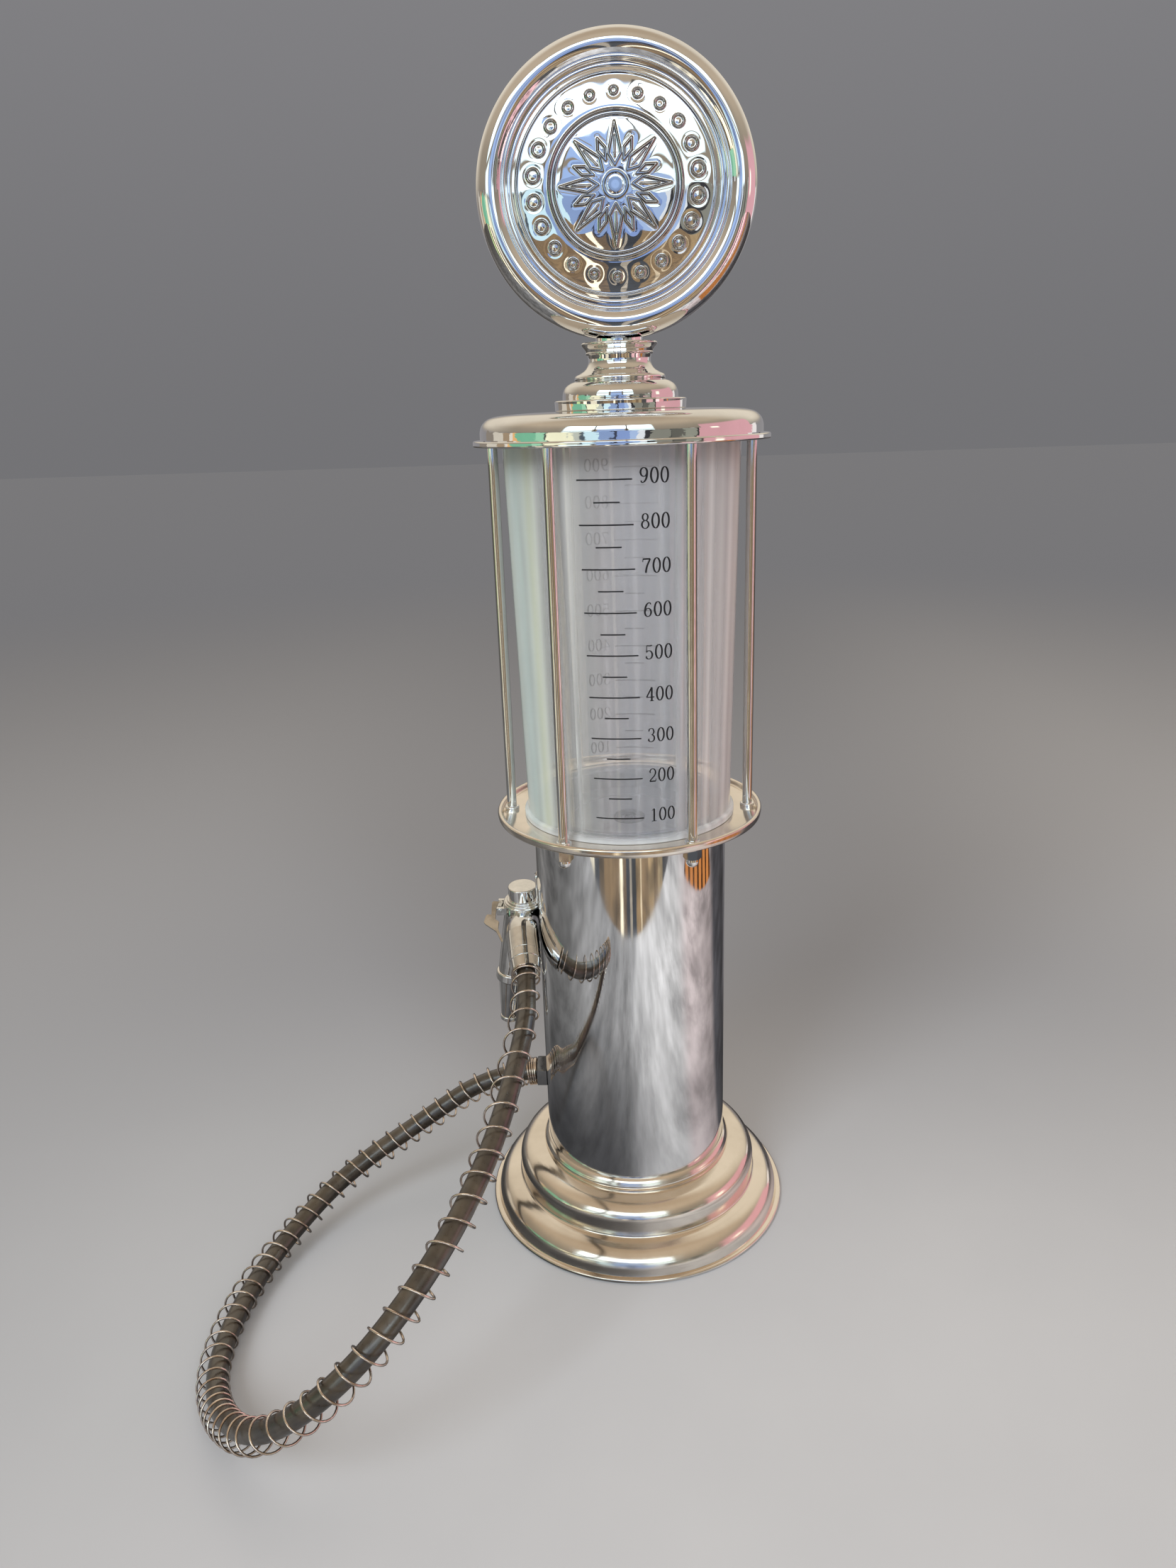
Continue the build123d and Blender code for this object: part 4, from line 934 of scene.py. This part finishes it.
FINISH = {
    "base_plate": STEEL, "foot_pad": FELT, "base_screws": STEEL, "column_foot": STEEL, "column_collar": CHROME,
    "base_skirt": CHROME, "column": CHROME_TUBE, "gallery": CHROME, "rods": CHROME_ROD, "rod_bosses": CHROME,
    "acorn_nuts": CHROME, "top_ring": CHROME, "tank": CLEAR, "tank_gasket": SILICONE, "outlet_spigot": FROSTED,
    "outlet_nut": WHITE, "outlet_washer": RUBBER, "drain_tube": VINYL, "port_fitting": CHROME_CAST,
    "port_nut": STEEL, "port_washer": RUBBER, "hose": HOSE, "hose_spring": COIL, "hanger": CHROME_CAST,
    "hanger_rivets": CHROME, "lid_dome": CHROME, "neck": CHROME, "neck_screw": STEEL, "sign_front": CHROME_FACE,
    "sign_back": CHROME_FACE, "sign_hoop": STEEL, "sign_stud": STEEL, "sign_nut": STEEL, "valve_body": CHROME_CAST,
    "valve_cap": CHROME_CAST, "valve_spring": STEEL, "handle_sleeve": CHROME_CAST, "handle_ferrule": CHROME_CAST,
    "hose_barb": BRASS, "spout_nut": CHROME_CAST, "spout": CHROME_CAST, "trigger": CHROME_LEVER,
    "trigger_pin": CHROME_CAST, "nozzle_bail": CHROME, "valve_stem": STEEL, "stem_seal": RUBBER,
}
for name, ob in nodes.items():
    dress(ob, FINISH[name])
    smooth_cad(name)

# ------------------------------------------------------------ floor and light
floor = new_object("floor", [(-9, -9, 0), (9, -9, 0), (9, 9, 0), (-9, 9, 0)], [(0, 1, 2, 3)], smooth=False)


def graph(nt):
    """Small helpers to write node sums in one tree."""

    def calc(op, a, b=None, c=None, clamp=False):
        n = nt.nodes.new("ShaderNodeMath")
        n.operation = op
        n.use_clamp = clamp
        for i, v in enumerate((a, b, c)):
            if v is None:
                continue
            if isinstance(v, (int, float)):
                n.inputs[i].default_value = v
            else:
                nt.links.new(v, n.inputs[i])
        return n.outputs[0]

    def rise(v, lo, hi):
        n = nt.nodes.new("ShaderNodeMapRange")
        n.interpolation_type = "SMOOTHSTEP"
        n.inputs["From Min"].default_value = lo
        n.inputs["From Max"].default_value = hi
        nt.links.new(v, n.inputs["Value"])
        return n.outputs["Result"]

    def band(v, lo, hi, soft):
        return calc("MULTIPLY", rise(v, lo - soft, lo + soft), calc("SUBTRACT", 1.0, rise(v, hi - soft, hi + soft)))

    def mixc(base, colour, fac):
        m = nt.nodes.new("ShaderNodeMix")
        m.data_type = "RGBA"
        m.clamp_factor = True
        for key, v in (("A", base), ("B", colour)):
            if isinstance(v, tuple):
                m.inputs[key].default_value = (*v, 1)
            else:
                nt.links.new(v, m.inputs[key])
        nt.links.new(fac, m.inputs["Factor"])
        return m.outputs["Result"]

    def random_of(v):
        n = nt.nodes.new("ShaderNodeTexWhiteNoise")
        n.noise_dimensions = "1D"
        nt.links.new(v, n.inputs["W"])
        return n.outputs["Value"]

    def join(v):
        n = nt.nodes.new("ShaderNodeSeparateXYZ")
        nt.links.new(v, n.inputs[0])
        return n.outputs[0], n.outputs[1], n.outputs[2]

    return calc, rise, band, mixc, random_of, join


fm, fnt, fb = mat_new("floor_paper")
calc, rise, band, mixc, random_of, join = graph(fnt)
ftc = fnt.nodes.new("ShaderNodeTexCoord").outputs["Object"]
fx, fy, fz = join(ftc)
faz = calc("MULTIPLY", calc("ARCTAN2", fx, calc("MULTIPLY", fy, -1.0)), 180 / math.pi)
fn = noise(fnt, ftc, 5.0, 4.0, 0.55)
fr = ramp(fnt, fn.outputs["Fac"], [(0.3, (0.430, 0.437, 0.462)), (0.7, (0.465, 0.471, 0.494))])
# painted shade: the floor the camera sees darkens towards the back, to both sides and, with distance, to black
seen_floor_with_painted_falloff = mixc(fr.outputs["Color"], (0.250, 0.258, 0.284), rise(fy, -0.12, 0.26))
seen_floor_with_painted_falloff = mixc(seen_floor_with_painted_falloff, (0.300, 0.308, 0.334), rise(calc("MULTIPLY", fx, -1.0), 0.02, 0.50))
seen_floor_with_painted_falloff = mixc(seen_floor_with_painted_falloff, (0.350, 0.355, 0.378), rise(fx, 0.10, 0.55))
fdist = calc("SQRT", calc("ADD", calc("MULTIPLY", fx, fx), calc("MULTIPLY", fy, fy)))
far = rise(fdist, 0.45, 2.4)
seen_floor_with_painted_falloff = mixc(seen_floor_with_painted_falloff, (0.0, 0.0, 0.0), far)
# painted light and shade, seen only in reflections: bright to the front right of the stand, darker to the left and
# behind, set by the angle round it
painted_light_by_angle = [(-180, 0.13), (-150, 0.10), (-128, 0.22), (-112, 0.12), (-84, 0.15), (-62, 0.24), (-46, 0.33), (-30, 0.26),
           (-14, 0.30), (-2, 0.40), (12, 0.56), (34, 0.62), (52, 0.54), (70, 0.50), (88, 0.42), (104, 0.30),
           (116, 0.08), (142, 0.055), (156, 0.16), (180, 0.13)]
shade = fnt.nodes.new("ShaderNodeValToRGB")
shade.color_ramp.interpolation = "EASE"
els = shade.color_ramp.elements
while len(els) < len(painted_light_by_angle):
    els.new(0.5)
for e, (deg, v) in zip(els, painted_light_by_angle):
    e.position = (deg + 180) / 360
    e.color = (v * (1.10 if 60 < deg < 110 else 0.97), v, v * (1.20 if deg > 110 else 1.07), 1)
fnt.links.new(calc("MULTIPLY_ADD", faz, 1 / 360, 0.5), shade.inputs["Fac"])
fleck = noise(fnt, ftc, 17.0, 5.0, 0.62, (1.0, 0.45, 1.0))
fleck_r = ramp(fnt, fleck.outputs["Fac"], [(0.34, g(0.62)), (0.66, g(1.38))])
uneven = fnt.nodes.new("ShaderNodeMix")
uneven.data_type = "RGBA"
uneven.blend_type = "MULTIPLY"
uneven.inputs["Factor"].default_value = 1.0
# painted shadow round the foot of the stand, deeper to the left, seen only in reflections
close_by = calc("SUBTRACT", 1.0, rise(fdist, 0.09, 0.26))
dim = calc("MULTIPLY", close_by, calc("SUBTRACT", 0.85, calc("MULTIPLY", rise(faz, -25, 30), 0.50)))
shaded = mixc(shade.outputs["Color"], (0.045, 0.047, 0.055), dim)
fnt.links.new(shaded, uneven.inputs["A"])
fnt.links.new(fleck_r.outputs["Color"], uneven.inputs["B"])
# in front of the picture the paper ends and the floor glows in coloured stripes, which only the polished metal sees:
# painted reflections of a bright room
glow_stripes_by_angle = [(-100, (0.10, 0.10, 0.11)), (-80, (0.70, 0.92, 0.42)), (-73, (0.16, 0.12, 0.08)), (-66, (1.9, 1.7, 1.2)),
           (-60, (0.05, 0.06, 0.08)), (-52, (1.0, 0.92, 0.72)), (-40, (0.05, 0.06, 0.08)), (-35, (0.12, 0.08, 0.045)),
           (-29, (0.24, 0.15, 0.07)), (-22, (0.30, 0.19, 0.09)), (-17, (0.20, 0.12, 0.055)), (-11, (1.6, 1.42, 1.05)),
           (-8, (0.16, 0.10, 0.055)), (-4, (0.012, 0.02, 0.035)), (0, (0.45, 0.39, 0.31)), (2.0, (0.012, 0.02, 0.035)),
           (7, (0.30, 0.19, 0.085)), (11, (0.80, 0.64, 0.42)), (13, (0.26, 0.165, 0.08)), (21, (0.44, 0.30, 0.15)),
           (27, (0.22, 0.14, 0.07)), (32, (0.46, 0.34, 0.19)), (37, (0.06, 0.06, 0.07)), (46, (0.95, 0.55, 0.58)),
           (58, (0.10, 0.08, 0.08)), (64, (1.6, 1.15, 1.15)), (71, (0.95, 0.42, 0.45)), (80, (0.12, 0.10, 0.10))]
glow_stripe_ramp = fnt.nodes.new("ShaderNodeValToRGB")
glow_stripe_ramp.color_ramp.interpolation = "CONSTANT"
els = glow_stripe_ramp.color_ramp.elements
while len(els) < len(glow_stripes_by_angle):
    els.new(0.5)
for e, (deg, col) in zip(els, glow_stripes_by_angle):
    e.position = (deg + 100) / 200
    e.color = (*col, 1)
fnt.links.new(calc("MULTIPLY_ADD", faz, 1 / 200, 0.5), glow_stripe_ramp.inputs["Fac"])
ahead = calc("SUBTRACT", 1.0, rise(fy, -0.362, -0.356))
# to the right, a dark strip with glowing orange slats: another painted reflection that only the metal sees
aside = calc("MULTIPLY", rise(fx, 0.414, 0.421), band(fy, -0.20, 0.135, 0.004))
dark_col = mixc(uneven.outputs["Result"], (0.05, 0.05, 0.05), ahead)
dark_col = mixc(dark_col, (0.02, 0.012, 0.006), aside)
bits = noise(fnt, ftc, 11.0, 3.0, 0.6)
bits_r = ramp(fnt, bits.outputs["Fac"], [(0.38, g(0.45)), (0.50, g(0.95)), (0.64, g(1.30))])
mottled_glow = fnt.nodes.new("ShaderNodeMix")
mottled_glow.data_type = "RGBA"
mottled_glow.blend_type = "MULTIPLY"
mottled_glow.inputs["Factor"].default_value = 1.0
fnt.links.new(glow_stripe_ramp.outputs["Color"], mottled_glow.inputs["A"])
fnt.links.new(bits_r.outputs["Color"], mottled_glow.inputs["B"])
glow = mixc((0.0, 0.0, 0.0), mottled_glow.outputs["Result"], ahead)
slats = calc("LESS_THAN", calc("FRACT", calc("MULTIPLY", faz, 0.15)), 0.62)
painted_slat_glow = mixc((0.05, 0.018, 0.008), (0.72, 0.27, 0.075), slats)
glow = mixc(glow, painted_slat_glow, aside)
# the camera and rays through the tank see the floor without the painted reflections; far off, where its colour fades to
# black, the floor glows flat in the backdrop's colour
look = fnt.nodes.new("ShaderNodeLightPath")
seen = calc("MAXIMUM", look.outputs["Is Camera Ray"], look.outputs["Is Transmission Ray"])
glow = mixc(glow, mixc((0.0, 0.0, 0.0), (0.172, 0.171, 0.179), far), seen)
fcol = mixc(dark_col, seen_floor_with_painted_falloff, seen)
fnt.links.new(glow, fb.inputs["Emission Color"])
fb.inputs["Emission Strength"].default_value = 1.0
fnt.links.new(fcol, fb.inputs["Base Color"])
fb.inputs["Roughness"].default_value = 0.85
fb.inputs["Specular IOR Level"].default_value = 0.05
dress(floor, fm)


def softbox(name, loc, target, w, h, power, color):
    ld = bpy.data.lights.new(name, "AREA")
    ld.shape = "RECTANGLE"
    ld.size, ld.size_y = w, h
    ld.energy = power
    ld.color = color
    ob = bpy.data.objects.new(name, ld)
    scene.collection.objects.link(ob)
    ob.location = loc
    ob.rotation_euler = (Vector(target) - Vector(loc)).to_track_quat("-Z", "Y").to_euler()
    ob.visible_glossy = False
    return ob


softbox("key", (-0.62, -1.10, 1.20), (0.02, -0.05, 0.15), 0.55, 0.75, 12.5, (0.90, 0.96, 1.0))
softbox("key_b", (0.45, -1.25, 1.25), (0, 0, 0.2), 0.5, 0.7, 8.0, (0.94, 0.98, 1.0))
softbox("fill", (1.25, -0.45, 0.85), (0, 0, 0.2), 0.8, 0.7, 2.0, (1.0, 0.88, 0.82))
softbox("top", (0.1, 0.2, 1.7), (0, 0, 0.2), 1.2, 1.0, 4.0, (1.0, 0.94, 0.86))

world = bpy.data.worlds.new("Room")
scene.world = world
world.use_nodes = True
wn = world.node_tree
wn.nodes.clear()
calc, rise, band, mixc, random_of, join = graph(wn)
wx, wy, wz = join(wn.nodes.new("ShaderNodeTexCoord").outputs["Generated"])
azm = calc("MULTIPLY", calc("ARCTAN2", wx, calc("MULTIPLY", wy, -1.0)), 180 / math.pi)
azb = calc("ABSOLUTE", azm)
elv = calc("MULTIPLY", calc("ARCSINE", wz), 180 / math.pi)

# walls and ceiling, lighter and creamier behind the object
sky = mixc((0.21, 0.185, 0.165), (0.34, 0.29, 0.225), rise(elv, 2, 18))
sky = mixc(sky, (0.56, 0.455, 0.335), rise(elv, 16, 48))
sky = mixc(sky, (0.48, 0.375, 0.265), rise(elv, 55, 85))
sky = mixc(sky, (0.80, 0.715, 0.585), calc("MULTIPLY", rise(azb, 95, 150), band(elv, 10, 68, 10)))
sky = mixc(sky, (0.30, 0.29, 0.30), calc("MULTIPLY", rise(azb, 80, 110), calc("SUBTRACT", 1.0, rise(elv, 3, 12))))
# things along the walls in front
cell = random_of(calc("FLOOR", calc("MULTIPLY", azm, 0.23)))
tall = calc("ADD", 2.0, calc("MULTIPLY", random_of(calc("FLOOR", calc("MULTIPLY", azm, 0.11))), 9.0))
low = calc("LESS_THAN", elv, tall)
front = calc("LESS_THAN", azb, 84.0)
sky = mixc(sky, (0.035, 0.035, 0.04), calc("MULTIPLY", front, calc("MULTIPLY", low, calc("LESS_THAN", cell, 0.42))))
sky = mixc(sky, (0.62, 0.60, 0.58), calc("MULTIPLY", front, calc("MULTIPLY", low, calc("GREATER_THAN", cell, 0.74))))
# tall window behind the camera: three lights, two rows, the middle one seen against blue sky
panes = calc("ADD", band(azm, -47, -22, 0.6), band(azm, 7, 27, 0.6), clamp=True)
mid = band(azm, -18, 4, 0.6)
rows = calc("ADD", band(elv, 9, 15, 0.6), band(elv, 17.5, 37, 0.6), clamp=True)
sky = mixc(sky, (1.25, 1.50, 1.56), calc("MULTIPLY", panes, rows))
sky = mixc(sky, (0.42, 0.60, 0.98), calc("MULTIPLY", mid, rows))
sky = mixc(sky, (2.6, 2.9, 3.0), calc("MULTIPLY", band(azm, -45, 25, 1.0), band(elv, 24, 36, 1.5)))
sky = mixc(sky, (0.09, 0.08, 0.075), calc("MULTIPLY", calc("ADD", band(azm, -20.6, -19.4, 0.3), band(azm, 4.9, 6.1, 0.3)),
                                         band(elv, -3, 38, 0.5)))
# a strip of coloured things at eye height, a pink wall on the right, leaves on the left
things = [(-180, (0.30, 0.26, 0.22)), (-125, (0.72, 0.66, 0.56)), (-108, (0.40, 0.30, 0.20)), (-101, (0.85, 0.80, 0.70)),
          (-95, (0.90, 0.52, 0.22)), (-90, (0.22, 0.55, 0.36)), (-71, (0.38, 0.74, 0.50)), (-63, (0.05, 0.06, 0.06)),
          (-60.5, (1.1, 1.08, 0.78)), (-40, (0.62, 0.66, 0.58)), (-31, (0.10, 0.13, 0.16)), (-28.5, (0.75, 1.02, 1.12)),
          (-19, (0.30, 0.42, 0.70)), (-7, (0.06, 0.07, 0.11)), (-4, (0.28, 0.40, 0.74)), (8, (0.45, 0.60, 0.90)),
          (14, (0.9, 0.95, 1.0)), (19.5, (0.05, 0.05, 0.055)), (23, (0.28, 0.28, 0.24)), (38, (0.06, 0.06, 0.06)),
          (40.5, (0.15, 0.15, 0.13)), (50, (0.34, 0.35, 0.29)), (61, (0.07, 0.065, 0.06)), (65, (0.80, 0.43, 0.47)),
          (126, (0.95, 0.90, 0.88)), (138, (0.30, 0.26, 0.22))]
strip = wn.nodes.new("ShaderNodeValToRGB")
strip.color_ramp.interpolation = "CONSTANT"
els = strip.color_ramp.elements
while len(els) < len(things):
    els.new(0.5)
for e, (deg, col) in zip(els, things):
    e.position = (deg + 180) / 360
    e.color = (*col, 1)
wob = wn.nodes.new("ShaderNodeTexNoise")
wob.inputs["Scale"].default_value = 9.0
wob.inputs["Detail"].default_value = 3.0
wn.links.new(wn.nodes.new("ShaderNodeTexCoord").outputs["Generated"], wob.inputs["Vector"])
waver = calc("ADD", azm, calc("MULTIPLY", calc("SUBTRACT", wob.outputs["Fac"], 0.5), 16.0))
wn.links.new(calc("MULTIPLY_ADD", waver, 1 / 360, 0.5), strip.inputs["Fac"])
top_edge = calc("MULTIPLY_ADD", wob.outputs["Fac"], 9.0, 4.0)
level = calc("MULTIPLY", calc("LESS_THAN", elv, top_edge), rise(elv, -16, -13))
sky = mixc(sky, strip.outputs["Color"], calc("MULTIPLY", level, calc("LESS_THAN", azb, 138.0)))
sky = mixc(sky, (0.80, 0.43, 0.47), calc("MULTIPLY", band(azm, 67, 126, 0.5), band(elv, -12, 24, 3)))
sky = mixc(sky, (0.05, 0.05, 0.055), calc("MULTIPLY", calc("MULTIPLY", band(azm, -60, 66, 0.5), band(elv, -3.4, -2.6, 0.3)), 0.5))
sky = mixc(sky, (1.5, 1.38, 1.16), calc("MULTIPLY", band(azm, 76, 84, 1.5), band(elv, 4, 13, 1.5)))
camera_col = mixc((0.172, 0.171, 0.179), (0.235, 0.232, 0.243), rise(elv, -4, 28))
look = wn.nodes.new("ShaderNodeLightPath")
final = mixc(sky, camera_col, calc("MAXIMUM", look.outputs["Is Camera Ray"], look.outputs["Is Transmission Ray"]))
bg = wn.nodes.new("ShaderNodeBackground")
bg.inputs["Strength"].default_value = 1.0
wn.links.new(final, bg.inputs["Color"])
ow = wn.nodes.new("ShaderNodeOutputWorld")
wn.links.new(bg.outputs[0], ow.inputs["Surface"])

scene.view_settings.view_transform = "Standard"
scene.view_settings.look = "None"
scene.view_settings.exposure = 0.0
